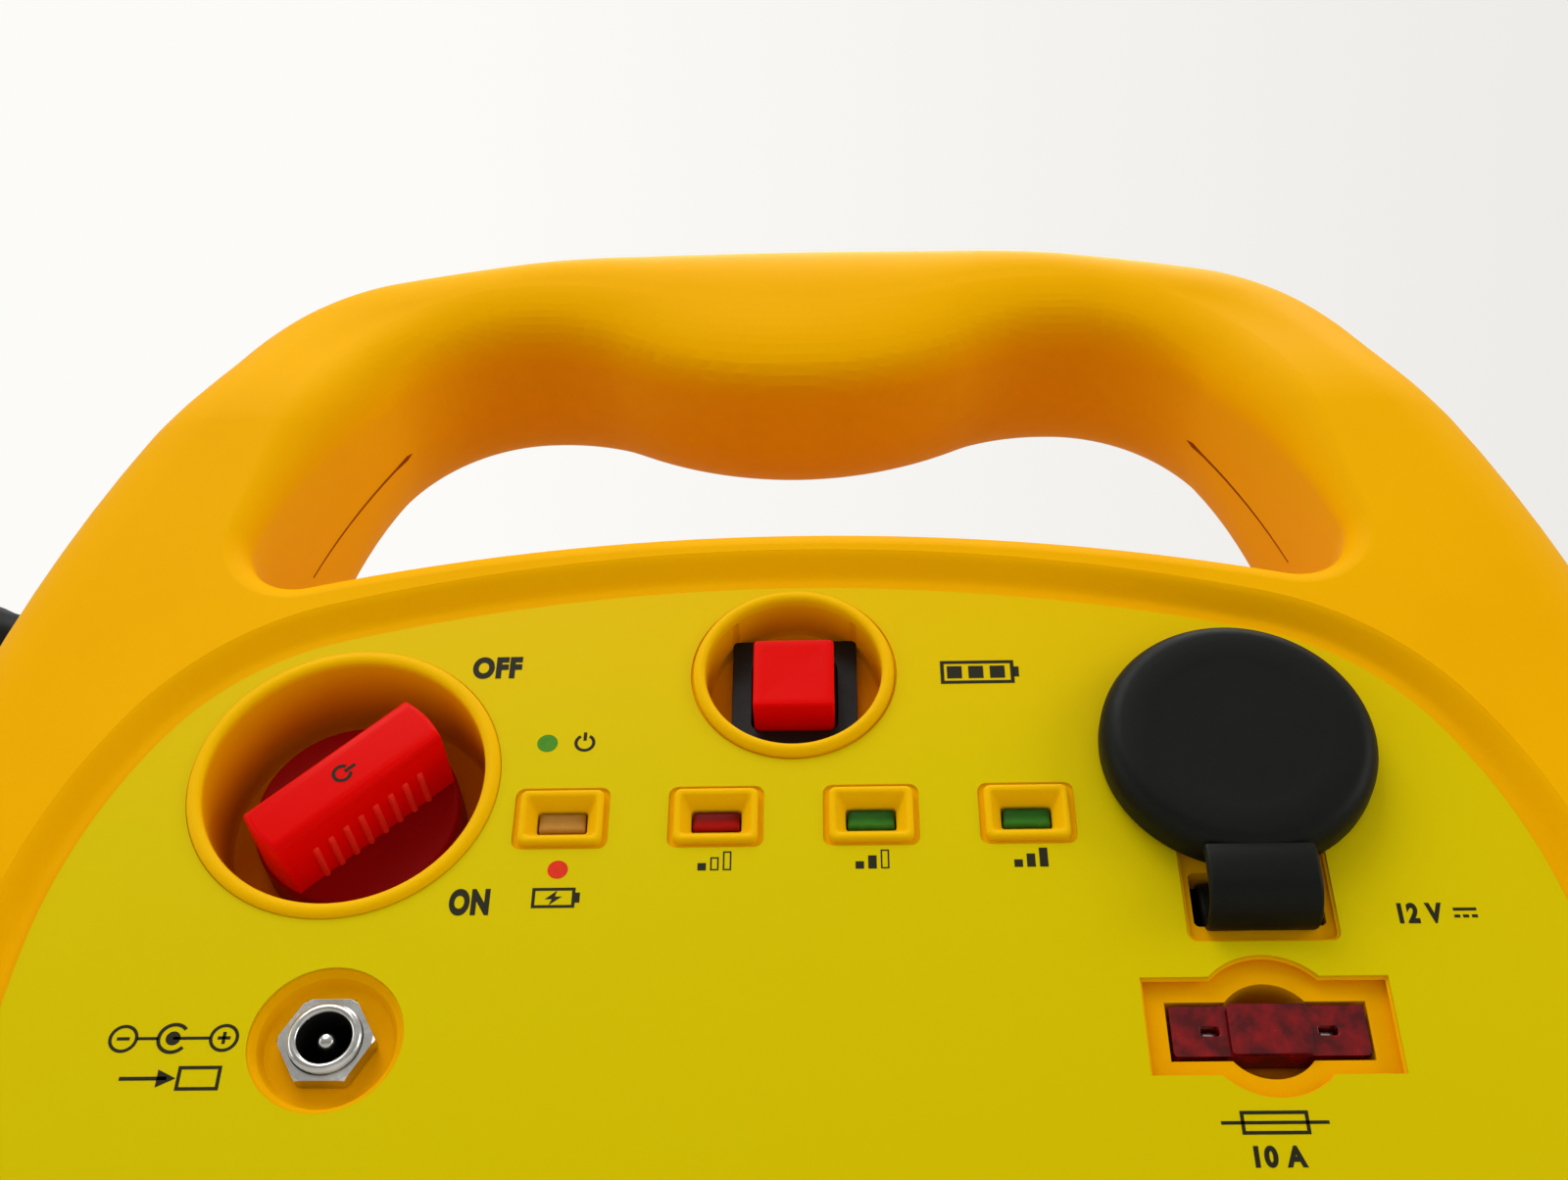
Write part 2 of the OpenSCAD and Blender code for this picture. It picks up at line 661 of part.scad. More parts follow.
module panel_label() {
    color(label_yellow)
    translate([0, label_y + label_t, 0]) rotate([90, 0, 0]) linear_extrude(label_t)
    difference() {
        polygon([for (p = label_outline) [p.x, p.y]]);
        translate([-knob_x, panel_z - knob_down]) circle(well_r + well_rim);
        translate([0, panel_z - button_down]) circle(button_well_r + button_ring_w + label_gap);
        for (x = lamp_x) translate([x, panel_z - lamp_down])
            square([bezel_w, bezel_h] + 2 * bezel_gap, center = true);
        translate([socket_x, panel_z - socket_down]) circle(flange_r + pass_gap);
        translate([socket_x, panel_z + slot_mid])
            square([slot_w + 2 * pass_gap, slot_h + 2 * pass_gap], center = true);
        translate([-jack_x, panel_z - jack_down]) circle(jack_well_r + label_gap);
        translate([fuse_x, panel_z - fuse_down])
            fuse_shape(fuse_recess_w + 2 * label_gap, fuse_recess_h + 2 * label_gap, finger_circle_r + label_gap);
    }
}

module casing_screws() {
    color("dimgray")
    each_screw() difference() {
        union() {
            rod(screw_r, front_y + wall + screw_tip, head_y);
            rod(screw_head_r, head_y, head_y + screw_head_h);
        }
        rod(screw_socket_r, head_y + screw_head_h - screw_socket_h, head_y + screw_head_h + over);
    }
}

foot_in = 3;
foot_taper = 1;
module rubber_feet() {
    color(rubber_black)
    for (s = [-1, 1], y = [front_y + edge_r + foot_r + foot_in, back_y - back_r - foot_r - foot_in])
        translate([s * (half_w - corner_r - foot_r - foot_in - foot_taper), y, 0])
        cylinder(r1 = foot_r - foot_taper, r2 = foot_r, h = foot_h);
}

// ---------- power switch ----------

knob_top_t = 1;
flank_rib_pitch = 2.1;
flank_rib_r = 0.45;
flank_rib_h = 4.9;
module power_knob() {
    bar_half = bar_foot_w / 2;
    flank_a = atan((bar_foot_w - bar_w) / 2 / (knob_disc_d + knob_bar_out));
    color(bright_red)
    on_panel(-knob_x, -knob_down) difference() {
        union() {
            rod(knob_r, knob_disc_d, well_d - pass_gap);
            rotate([0, 0, -knob_angle]) {
                intersection() {
                    rod(knob_r - pass_gap, -knob_bar_out, knob_disc_d + knob_top_t);
                    rotate([90, 0, 90]) translate([0, 0, -knob_r]) linear_extrude(2 * knob_r) polygon([
                        [-bar_w / 2, -knob_bar_out], [bar_w / 2, -knob_bar_out],
                        [bar_half, knob_disc_d], [bar_half, knob_disc_d + knob_top_t],
                        [-bar_half, knob_disc_d + knob_top_t], [-bar_half, knob_disc_d]]);
                }
                for (s = [-1, 1], i = [0:rib_count - 1])
                    translate([(i - (rib_count - 1) / 2) * flank_rib_pitch, s * bar_half, knob_disc_d + pass_gap])
                    rotate([s * (180 - flank_a), 0, 0]) cylinder(r = flank_rib_r, h = flank_rib_h);
            }
        }
        rod(spindle_r + run_gap, knob_disc_d + knob_top_t, well_d + over);
    }
}

spindle_in = 15;
module switch_spindle() {
    color(nickel)
    on_panel(-knob_x, -knob_down)
    rod(spindle_r, knob_disc_d + knob_top_t + pass_gap, switch_d + spindle_in - pass_gap);
}

switch_cover_h = 6;
switch_cover_in = 3;
module power_switch_body() {
    color(plastic_black)
    on_panel(-knob_x, -knob_down) difference() {
        union() {
            rod(switch_r, switch_d, switch_d + switch_h - switch_cover_h);
            rod(switch_r - switch_cover_in, switch_d + switch_h - switch_cover_h, switch_d + switch_h);
        }
        rod(spindle_r + run_gap, switch_d - over, switch_d + spindle_in);
    }
}

stud_h = 12;
stud_nut_w = 2.5;
stud_nut_h = 4;
module switch_studs() {
    color(copper)
    for (s = [-1, 1]) on_panel(-knob_x + s * stud_pitch / 2, -knob_down) {
        rod(stud_r, switch_d + switch_h, switch_d + switch_h + stud_h);
        translate([0, 0, switch_d + switch_h]) cylinder(r = stud_r + stud_nut_w, h = stud_nut_h, $fn = 6);
    }
}

// ---------- test button and lamps ----------

test_hole_d = board_d + 0.5;
button_out = 0.2;
button_wall = 1.4;
button_hollow = 4;
module test_button_cap() {
    color(bright_red)
    on_panel(0, -button_down) difference() {
        block(button_w, button_w, -button_out, test_hole_d - button_travel - pass_gap);
        rod(button_w / 2 - button_wall, test_hole_d - button_hollow, test_hole_d);
    }
}
test_back_h = 8;
test_flange_w = 2.5;
test_flange_t = 2;
module test_switch_body() {
    color(plastic_black)
    on_panel(0, -button_down) difference() {
        union() {
            block(test_w, test_h, test_face_d, test_seat_d + test_back_h);
            block(test_w + 2 * test_flange_w, test_h + 2 * test_flange_w, test_seat_d, test_seat_d + test_flange_t);
        }
        block(button_w + 2 * pass_gap, button_w + 2 * pass_gap, test_face_d - over, test_hole_d);
    }
}

// A lamp in bezel i: its lens in the bezel and its foot on the board
lens_d = 1.2;
lens_foot_w = 0.7;
lens_foot_d = 0.5;
module lamp(i, c) {
    color(c)
    on_panel(lamp_x[i], -lamp_down) {
        block(lens_w, lens_h, label_t + lens_d, skin_d + over);
        block(lens_w + 2 * lens_foot_w, lens_h + 2 * lens_foot_w, skin_d + lens_foot_d, board_d);
    }
}
module charge_lens() { lamp(0, [0.85, 0.7, 0.5]); }
module low_lens() { lamp(1, [0.65, 0.04, 0.04]); }
module medium_lens() { lamp(2, [0.08, 0.42, 0.2]); }
module high_lens() { lamp(3, [0.08, 0.42, 0.2]); }

board_h = 13;
board_hole_gap = 0.25;
module indicator_board() {
    color([0.1, 0.35, 0.15])
    difference() {
        on_panel(0, -lamp_down) block(board_w, board_h, board_d, board_d + board_t);
        board_bosses(board_screw_r + board_hole_gap, board_d - over, board_d + board_t + over);
    }
}
board_head_r = 1.9;
board_head_h = 1.2;
module board_screws() {
    color(nickel) {
        board_bosses(board_screw_r, board_screw_tip, board_d + board_t);
        board_bosses(board_head_r, board_d + board_t, board_d + board_t + board_head_h);
    }
}

// ---------- accessory socket ----------

insulator_t = 4;
module socket_barrel() {
    color(nickel)
    on_panel(socket_x, -socket_down) difference() {
        union() {
            rod(flange_r, label_t, label_t + flange_t);
            rod(barrel_r, label_t, socket_h + insulator_t);
        }
        rod(socket_r, -over, socket_h + insulator_t + over);
    }
}
socket_nut_h = 9;
module socket_nut() {
    color(plastic_black)
    on_panel(socket_x, -socket_down) difference() {
        rod(socket_nut_r, nut_seat_d, nut_seat_d + socket_nut_h);
        rod(barrel_r + run_gap, nut_seat_d - over, nut_seat_d + socket_nut_h + over);
    }
}
contact_r = 3;
contact_head_w = 1.5;
contact_head_h = 2.5;
contact_tail = 4;
module socket_insulator() {
    color([0.85, 0.83, 0.75])
    on_panel(socket_x, -socket_down) difference() {
        rod(socket_r - run_gap, socket_h, socket_h + insulator_t);
        rod(contact_r + run_gap, socket_h - over, socket_h + insulator_t + over);
    }
}
module socket_contact() {
    color(copper)
    on_panel(socket_x, -socket_down) {
        rod(contact_r, socket_h - over, socket_h + insulator_t + contact_tail);
        rod(contact_r + contact_head_w, socket_h - contact_head_h, socket_h - eps);
    }
}

cap_edge_r = 2.4;
module socket_cap() {
    color(rubber_black)
    on_panel(socket_x, -socket_down) {
        translate([0, 0, -cap_out]) rotate_extrude() difference() {
            union() {
                square([cap_r - cap_edge_r, cap_out - pass_gap]);
                translate([0, cap_edge_r]) square([cap_r, cap_out - pass_gap - cap_edge_r]);
                translate([cap_r - cap_edge_r, cap_edge_r]) circle(cap_edge_r);
            }
            translate([-2 * cap_r, -cap_r]) square([2 * cap_r, 3 * cap_r]);
        }
        rod(socket_r - plug_gap, -cap_out / 2, plug_h);
    }
}

// The strap's loop: round from under the cap, out and down, and back in through the slot
module cap_strap() {
    outer_r = strap_r + strap_t / 2;
    inner_r = strap_r - strap_t / 2;
    tail = hinge_down + slot_deep_top - slot_step - 0.2;
    color(rubber_black)
    translate([socket_x + strap_w / 2, label_y - hinge_out, panel_z - hinge_down]) rotate([0, -90, 0])
    linear_extrude(strap_w) {
        // in this outline x is up and y is depth
        difference() {
            circle(outer_r);
            circle(inner_r);
            translate([0, -2 * outer_r]) square([2 * outer_r, 4 * outer_r]);
        }
        translate([-eps, -outer_r]) square([hinge_down - socket_down - cap_r - pass_gap, strap_t]);
        translate([-eps, inner_r]) square([tail, strap_t]);
        translate([tail - strap_t, inner_r]) square([strap_t, skin_d + slot_pocket_d + hinge_out - inner_r]);
    }
}

// ---------- charging jack and fuse ----------

jack_h = 15;
jack_out = 0.6;
jack_shoulder_w = 1.8;
jack_bore = 7;
module jack_body() {
    back = jack_floor_d + jack_floor_t;
    color(plastic_black)
    on_panel(-jack_x, -jack_down) difference() {
        union() {
            rod(jack_r, -jack_out, back + over);
            rod(jack_r + jack_shoulder_w, back, back + jack_h);
        }
        rod(jack_hole_r, -over, back + jack_bore);
    }
}
nut_face_d = 0.1;
module jack_nut() {
    color(nickel)
    on_panel(-jack_x, -jack_down) difference() {
        translate([0, 0, nut_face_d]) cylinder(r = nut_r, h = jack_floor_d - nut_face_d, $fn = 6);
        rod(jack_r + run_gap, -over, jack_floor_d + over);
    }
}
jack_pin_r = 1;
jack_pin_d = 0.6;
module jack_pin() {
    color(nickel)
    on_panel(-jack_x, -jack_down) rod(jack_pin_r, jack_pin_d, jack_floor_d + jack_floor_t + jack_bore);
}

blade_w = 5.2;
blade_t = 0.65;
blade_pitch = 12.8;
blade_h = 7;
fuse_h = 12;
fuse_head_h = 4;
fuse_head_step = 0.6;
fuse_rise_w = 7.7;
fuse_neck_in = [1.5, 0.5];
probe_x = 5.2;
probe_r = 0.8;
probe_d = 1.8;
module fuse_body() {
    color([0.7, 0.03, 0.06, 0.75])
    on_panel(fuse_x, -fuse_down) difference() {
        union() {
            block(fuse_w, fuse_t, fuse_top_d + fuse_head_step, fuse_top_d + fuse_head_h);
            block(fuse_rise_w, fuse_t, fuse_top_d, fuse_top_d + fuse_head_h);
            block(fuse_w - 2 * fuse_neck_in.x, fuse_t - 2 * fuse_neck_in.y,
                fuse_top_d + fuse_head_h - eps, fuse_top_d + fuse_h);
        }
        for (s = [-1, 1]) translate([s * probe_x, 0, 0]) rod(probe_r, -over, fuse_top_d + probe_d);
    }
}
module fuse_blades() {
    color(nickel)
    for (s = [-1, 1]) on_panel(fuse_x + s * blade_pitch / 2, -fuse_down)
        block(blade_w, blade_t, fuse_top_d + fuse_h, fuse_top_d + fuse_h + blade_h);
}
holder_wall = 2;
holder_floor_t = 3;
holder_tab_t = 0.8;
holder_tab_h = 7;
module fuse_holder() {
    finish = fuse_top_d + fuse_h + blade_h + holder_floor_t;
    color(plastic_black)
    on_panel(fuse_x, -fuse_down) difference() {
        union() {
            block(fuse_w + 2 * holder_wall, fuse_t + 2 * holder_wall, fuse_seat_d, finish);
            for (s = [-1, 1]) translate([s * blade_pitch / 2, 0, 0])
                block(blade_w, holder_tab_t, finish, finish + holder_tab_h);
        }
        block(fuse_w + 2 * pass_gap, fuse_t + 2 * pass_gap, fuse_seat_d - over, fuse_top_d + fuse_h + pass_gap);
        for (s = [-1, 1]) translate([s * blade_pitch / 2, 0, 0])
            block(blade_w + 2 * pass_gap, blade_t + 2 * pass_gap, fuse_seat_d, finish - holder_wall);
    }
}

// ---------- battery ----------

battery_top = floor_z + battery_h;
terminal_in = 13.5;
terminal_x = battery_w / 2 - terminal_in;
terminal_w = 8;
terminal_h = 5;
lid_step = [1.5, 4];
vent_pitch = 16;
vent_r = 5;
vent_d = 0.8;
module battery_case() {
    color([0.2, 0.2, 0.22])
    translate([0, battery_y, floor_z]) difference() {
        union() {
            translate([-battery_w / 2, -battery_d / 2, 0]) cube([battery_w, battery_d, battery_h - lid_step.y]);
            translate([lid_step.x - battery_w / 2, lid_step.x - battery_d / 2, 0])
                cube([battery_w - 2 * lid_step.x, battery_d - 2 * lid_step.x, battery_h]);
        }
        for (i = [-2.5:1:2.5]) translate([i * vent_pitch, 0, battery_h - vent_d])
            cylinder(r = vent_r, h = vent_d + over);
    }
}
module battery_terminals() {
    color(copper)
    for (s = [-1, 1]) translate([s * terminal_x - terminal_w / 2, battery_y - terminal_w / 2, battery_top])
        cube([terminal_w, terminal_w, terminal_h]);
}
module foam_pads() {
    color([0.25, 0.25, 0.25])
    for (s = [-1, 1]) translate([s * (battery_w / 2 + foam_t / 2), battery_y, floor_z + rib_h / 2])
        cube([foam_t, battery_d - 2 * rib_in, rib_h - 2 * foam_in], center = true);
}
// A steel band over the battery, with feet on the casing's floor
module battery_strap() {
    out = battery_d / 2 + strap_gauge;
    color("silver")
    translate([-strap_width / 2, battery_y, 0]) difference() {
        union() {
            translate([0, -out, floor_z]) cube([strap_width, 2 * out, battery_h + strap_gauge]);
            translate([0, -out - strap_foot, floor_z]) cube([strap_width, 2 * (out + strap_foot), strap_gauge]);
        }
        translate([-over, -battery_d / 2, floor_z - over])
            cube([strap_width + 2 * over, battery_d, battery_h + over]);
    }
}

// ---------- tubes ----------

function unit(v) = v / norm(v);
// Directions along a path
function tangents(p) = [for (i = [0:len(p) - 1]) unit(p[min(i + 1, len(p) - 1)] - p[max(i - 1, 0)])];
// A side direction carried along the path without twisting
function carried(t, i, s) =
    i == len(t) ? [] : let (v = s - t[i] * (s * t[i]), u = unit(v)) concat([u], carried(t, i + 1, u));
// A smooth path through the points, with k steps between them
function smooth(p, k) =
    concat([for (i = [0:len(p) - 2], j = [0:k - 1])
        let (a = p[max(i - 1, 0)], b = p[i], c = p[i + 1], d = p[min(i + 2, len(p) - 1)], t = j / k)
        0.5 * (2 * b + (c - a) * t + (2 * a - 5 * b + 4 * c - d) * t * t + (3 * b - a - 3 * c + d) * t * t * t)],
        [p[len(p) - 1]]);
module tube(p, r, sides, t) {
    u = carried(t, 0, abs(t[0].x) > 0.9 ? [0, 1, 0] : [1, 0, 0]);
    n = len(p);
    pts = [for (i = [0:n - 1], k = [0:sides - 1]) let (a = 360 * k / sides)
        p[i] + r * (cos(a) * u[i] + sin(a) * cross(t[i], u[i]))];
    faces = concat(
        [for (k = [1:sides - 2]) [0, k, k + 1]],
        [for (k = [1:sides - 2]) [(n - 1) * sides, (n - 1) * sides + k + 1, (n - 1) * sides + k]],
        [for (i = [0:n - 2], k = [0:sides - 1]) let (j = (k + 1) % sides)
            [i * sides + k, (i + 1) * sides + k, (i + 1) * sides + j]],
        [for (i = [0:n - 2], k = [0:sides - 1]) let (j = (k + 1) % sides)
            [i * sides + k, (i + 1) * sides + j, i * sides + j]]);
    polyhedron(pts, faces);
}
function flip(p, s) = [for (q = p) [s * q.x, q.y, q.z]];
// A cord along a route, square to what it meets at both ends
module cord(route, r, sides) {
    p = smooth(route, 2);
    t = tangents(p);
    last = len(route) - 1;
    tube(p, r, sides, [for (i = [0:len(p) - 1])
        i == 0 ? unit(route[1] - route[0]) : i == len(p) - 1 ? unit(route[last] - route[last - 1]) : t[i]]);
}

// ---------- leads inside ----------

lead_r = 3;
stud_y = label_y + switch_d + switch_h + stud_h;
knob_z = panel_z - knob_down;
exit_dir = [sin(exit_angle), 0, cos(exit_angle)];
inner_mouth = [exit_x, exit_y, exit_z] - gland_in * exit_dir;
left_stud = [-knob_x - stud_pitch / 2, stud_y, knob_z];
right_stud = [-knob_x + stud_pitch / 2, stud_y, knob_z];
left_terminal = [-terminal_x, battery_y, battery_top + terminal_h];
right_terminal = [terminal_x, battery_y, battery_top + terminal_h];
lead_up = 9;
lead_sides = 8;
// A point the share k of the way from p to q, and off from there
function along(p, q, k, off) = p + (q - p) * k + off;
// The way of a lead from the right gland down behind the shoulder
shoulder_route = concat([inner_mouth, inner_mouth - 3 * exit_dir],
    [for (o = [[-7, 0, -5.5], [-9, 0, -13.5], [-10, 2, -24]]) inner_mouth + o]);
switch_route = concat(flip(shoulder_route, -1),
    [for (o = [[-17, -14, 3], [-15, 2, 0], [-7, 11, 0], [0, 8, 0], [0, 4, 0], [0, 0, 0]]) left_stud + o]);
battery_route = [
    right_stud, right_stud + [0, 5, 0], right_stud + [-2, 12, -4],
    along(right_stud, left_terminal, 0.27, [0.7, 19.6, 0]),
    along(right_stud, left_terminal, 0.66, [-1, 15.7, 0]),
    left_terminal + [0, 0, lead_up], left_terminal];
ground_route = concat(shoulder_route, [
    along(inner_mouth, right_terminal, 0.37, [-1.7, 2.8, 0]),
    along(inner_mouth, right_terminal, 0.54, [0.5, 9.7, 0]),
    along(inner_mouth, right_terminal, 0.73, [-0.7, 12, 0]),
    right_terminal + [0, 0, lead_up], right_terminal]);
module switch_lead() { color([0.6, 0.05, 0.05]) cord(switch_route, lead_r, lead_sides); }
module battery_lead() { color([0.6, 0.05, 0.05]) cord(battery_route, lead_r, lead_sides); }
module ground_lead() { color(rubber_black) cord(ground_route, lead_r, lead_sides); }

// ---------- glands and cables ----------

gland_flange_w = 1.6;
gland_flange_t = 1.8;
gland_lip = 0.5;
module gland(s) {
    color(rubber_black)
    at_exit(s) {
        translate([0, 0, -gland_in]) cylinder(r = gland_r, h = gland_in + eps);
        translate([0, 0, pass_gap]) cylinder(r = gland_r + gland_flange_w, h = gland_flange_t);
        cylinder(r1 = gland_r, r2 = cable_r + gland_lip, h = gland_out);
    }
}
module left_gland() { gland(-1); }
module right_gland() { gland(1); }

mouth = [exit_x, exit_y, exit_z] + gland_out * exit_dir;
clamp_x = half_w + clamp_off;
clamp_y = part_y + clamp_back;
handle_u = 15;
cable_end = [clamp_x, clamp_y - handle_u, pivot_z - lever_h];
cable_sides = 8;
// From the gland out, over and down behind the clamp, round at the floor, and up into the clamp's front handle
cable_route = [
    mouth, mouth + 4 * exit_dir, [112, -28, 218.9], [119, -25, 218], [125, -19, 214], [129, -10, 205],
    [131, 1, 192], [131, 11, 176], [130, 19, 156], [128, 25, 134], [126, 29, 110], [124, 31, 86], [122, 31, 62],
    [120, 29, 40], [118, 21, 22], [117, 9, 11], [116, -5, 9], [116, -19, 15], [116, -29, 27],
    cable_end + [0, 0, -10], cable_end + [0, 0, -4], cable_end];
module left_cable() { color(rubber_black) cord(flip(cable_route, -1), cable_r, cable_sides); }
module right_cable() { color(rubber_black) cord(cable_route, cable_r, cable_sides); }

// ---------- parking posts and clamps ----------

post_z = pivot_z + post_up;
clamp_half = clamp_w / 2;
post_tip = 4;
post_out = clamp_off + clamp_half + post_tip;
post_collar_w = 3;
post_collar_t = 2;
post_head_w = 2.5;
post_head_t = 2.5;
module post(s) {
    color(plastic_black)
    translate([s * half_w, clamp_y, post_z]) rotate([0, s * 90, 0]) {
        cylinder(r = post_r, h = post_out);
        cylinder(r = post_r + post_collar_w, h = post_collar_t);
        translate([0, 0, post_out - post_head_t]) cylinder(r = post_r + post_head_w, h = post_head_t);
    }
}
module left_post() { post(-1); }
module right_post() { post(1); }

// Children lie in the clamp's plane: x outward from the middle plane towards the side f, y up from the pivot
module in_clamp(s, f, x) {
    translate([s * clamp_x, clamp_y, pivot_z]) rotate([90, 0, 90]) translate([0, 0, x]) scale([f, 1, 1]) children();
}
jaw_t = 1.6;
grip_u = post_r + pass_gap;
jaw_top = post_up + 14;
lever_t = 3;
grip_end_u = handle_u + 6;
grip_end_h = 20;

// The inner edge of a jaw's copper, from the pivot up to the tip
jaw_line = [[4.5, 9], [3.4, 16], [4.2, post_up - post_r - 1], [grip_u, post_up - 2.5], [grip_u, post_up + 2.5],
    [3.6, post_up + post_r + 1], [1, jaw_top - 2], [1, jaw_top]];
function reach(line, d) = concat(line, [for (i = [len(line) - 1:-1:0]) [line[i].x + d, line[i].y]]);

// The side of a lever: its channel's back, from the jaw's tip past the pivot to the handle's end
module lever_back() {
    polygon(concat(
        [for (p = jaw_line) [p.x + jaw_t + run_gap, p.y]],
        [[6.5, jaw_top], [11.5, post_up + 3], [11.5, post_up - 6], [10.5, 10], [11.5, 0], [14.5, -20],
            [grip_end_u, grip_end_h - lever_h], [grip_end_u, -lever_h],
            [grip_end_u - lever_t, -lever_h], [grip_end_u - lever_t, grip_end_h - lever_h], [14.5 - lever_t, -20],
            [11.5 - lever_t, 0], [10.5 - lever_t, 9]]));
}
// A lever's cheek round the pivot
module lever_cheek() {
    polygon([[-6, -4], [-6, 4], [-3, 8], [10.4, 10], [11.5, 0], [14.5, -20], [11.5, -26], [2, -12], [-3, -8]]);
}
// The block in a front handle's end, which holds the cable
ferrule_w = 12;
ferrule_h = 9;
// f is -1 for the front lever and 1 for the rear one, whose cheeks lie inside the front one's
module lever(s, f, c) {
    inset = f < 0 ? 0 : cheek_t + pass_gap;
    half = clamp_half - inset;
    color(c)
    difference() {
        union() {
            in_clamp(s, f, -clamp_half) linear_extrude(clamp_w) lever_back();
            for (x = [-half, half - cheek_t]) in_clamp(s, f, x) linear_extrude(cheek_t) lever_cheek();
            if (f < 0) in_clamp(s, f, -ferrule_w / 2) linear_extrude(ferrule_w)
                translate([handle_u - ferrule_w / 2, -lever_h])
                square([grip_end_u - handle_u + ferrule_w / 2 - over, ferrule_h]);
        }
        in_clamp(s, f, -clamp_half - over) cylinder(r = pin_r + run_gap, h = clamp_w + 2 * over);
        // room for the coil and the rear lever's cheeks
        if (f < 0) in_clamp(s, f, -clamp_half + cheek_t) translate([-7, -14, 0])
            cube([13.5, 24, clamp_w - 2 * cheek_t]);
    }
}
tooth_pitch = 1.6;
module jaw(s, f) {
    w = clamp_w - 4 * cheek_t - 4 * pass_gap;
    color(copper)
    difference() {
        in_clamp(s, f, -w / 2) linear_extrude(w) polygon(reach(jaw_line, jaw_t));
        for (i = [0:4]) in_clamp(s, f, -w / 2 - over) translate([0.6, post_up + post_r + 2 + tooth_pitch * i, 0])
            cylinder(r = tooth_pitch / 2, h = w + 2 * over, $fn = 16);
    }
}
pin_head = 1.5;
module pin(s) {
    color(nickel)
    in_clamp(s, 1, -clamp_half) {
        cylinder(r = pin_r, h = clamp_w);
        for (z = [-pin_head, clamp_w]) translate([0, 0, z]) cylinder(r = pin_r + pin_head, h = pin_head);
    }
}

// The clamp's spring: a leg down the front handle, turns round the pin, a leg down the rear handle
wire_r = 0.8;
coil_r = pin_r + wire_r + 0.7;
coil_turns = 4;
coil_steps = 8;
coil_pitch = 2.4;
leg_h = 24;
leg_u = 7.6;
coil_path = let (n = coil_turns * coil_steps, h = coil_pitch * coil_turns)
    concat(
        [[-h / 2, -leg_u, -leg_h], [-h / 2, -leg_u + 1.2, -leg_h + 9]],
        [for (i = [0:n]) let (a = 180 + 360 * i * coil_turns / n)
            [-h / 2 + coil_pitch * i / coil_steps, coil_r * cos(a), -coil_r * sin(a)]],
        [[h / 2, coil_r + 2.2, -leg_h + 9], [h / 2, leg_u, -leg_h]]);
coil_gap = min([for (i = [2 : coil_steps + 2]) norm(coil_path[i + coil_steps] - coil_path[i]) - 2 * wire_r]);
echo(coil_gap = coil_gap);
module spring(s) {
    color(nickel)
    translate([s * clamp_x, clamp_y, pivot_z]) tube(coil_path, wire_r, 6, tangents(coil_path));
}

module left_front_lever() { lever(-1, -1, bright_red); }
module left_rear_lever() { lever(-1, 1, bright_red); }
module left_front_jaw() { jaw(-1, -1); }
module left_rear_jaw() { jaw(-1, 1); }
module left_pin() { pin(-1); }
module left_spring() { spring(-1); }
module right_front_lever() { lever(1, -1, plastic_black); }
module right_rear_lever() { lever(1, 1, plastic_black); }
module right_front_jaw() { jaw(1, -1); }
module right_rear_jaw() { jaw(1, 1); }
module right_pin() { pin(1); }
module right_spring() { spring(1); }

front_casing();
rear_casing();
panel_label();
casing_screws();
rubber_feet();
power_knob();
switch_spindle();
power_switch_body();
switch_studs();
test_button_cap();
test_switch_body();
charge_lens();
low_lens();
medium_lens();
high_lens();
indicator_board();
board_screws();
socket_barrel();
socket_nut();
socket_insulator();
socket_contact();
socket_cap();
cap_strap();
jack_body();
jack_nut();
jack_pin();
fuse_body();
fuse_blades();
fuse_holder();
battery_case();
battery_terminals();
battery_strap();
foam_pads();
switch_lead();
battery_lead();
ground_lead();
left_gland();
right_gland();
left_cable();
right_cable();
left_post();
right_post();
left_front_lever();
left_rear_lever();
left_front_jaw();
left_rear_jaw();
left_pin();
left_spring();
right_front_lever();
right_rear_lever();
right_front_jaw();
right_rear_jaw();
right_pin();
right_spring();
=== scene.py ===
import math
import bpy
import bmesh
import numpy as np
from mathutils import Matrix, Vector


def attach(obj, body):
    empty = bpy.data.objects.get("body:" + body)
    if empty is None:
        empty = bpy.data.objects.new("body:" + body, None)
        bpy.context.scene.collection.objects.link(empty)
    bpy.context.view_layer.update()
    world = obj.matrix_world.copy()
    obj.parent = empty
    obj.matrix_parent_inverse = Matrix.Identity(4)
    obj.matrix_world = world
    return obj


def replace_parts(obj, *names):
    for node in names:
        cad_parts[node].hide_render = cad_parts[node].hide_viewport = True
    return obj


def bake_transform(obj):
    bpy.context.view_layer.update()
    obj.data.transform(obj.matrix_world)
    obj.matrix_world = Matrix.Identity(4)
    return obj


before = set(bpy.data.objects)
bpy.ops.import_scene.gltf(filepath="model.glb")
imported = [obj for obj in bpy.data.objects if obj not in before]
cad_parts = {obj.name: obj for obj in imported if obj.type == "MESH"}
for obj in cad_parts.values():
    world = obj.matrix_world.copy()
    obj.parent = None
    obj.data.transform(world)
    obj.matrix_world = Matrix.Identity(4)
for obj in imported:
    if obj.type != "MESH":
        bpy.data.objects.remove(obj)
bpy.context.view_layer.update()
mm = 0.001  # shapes are written in millimetres and made in metres

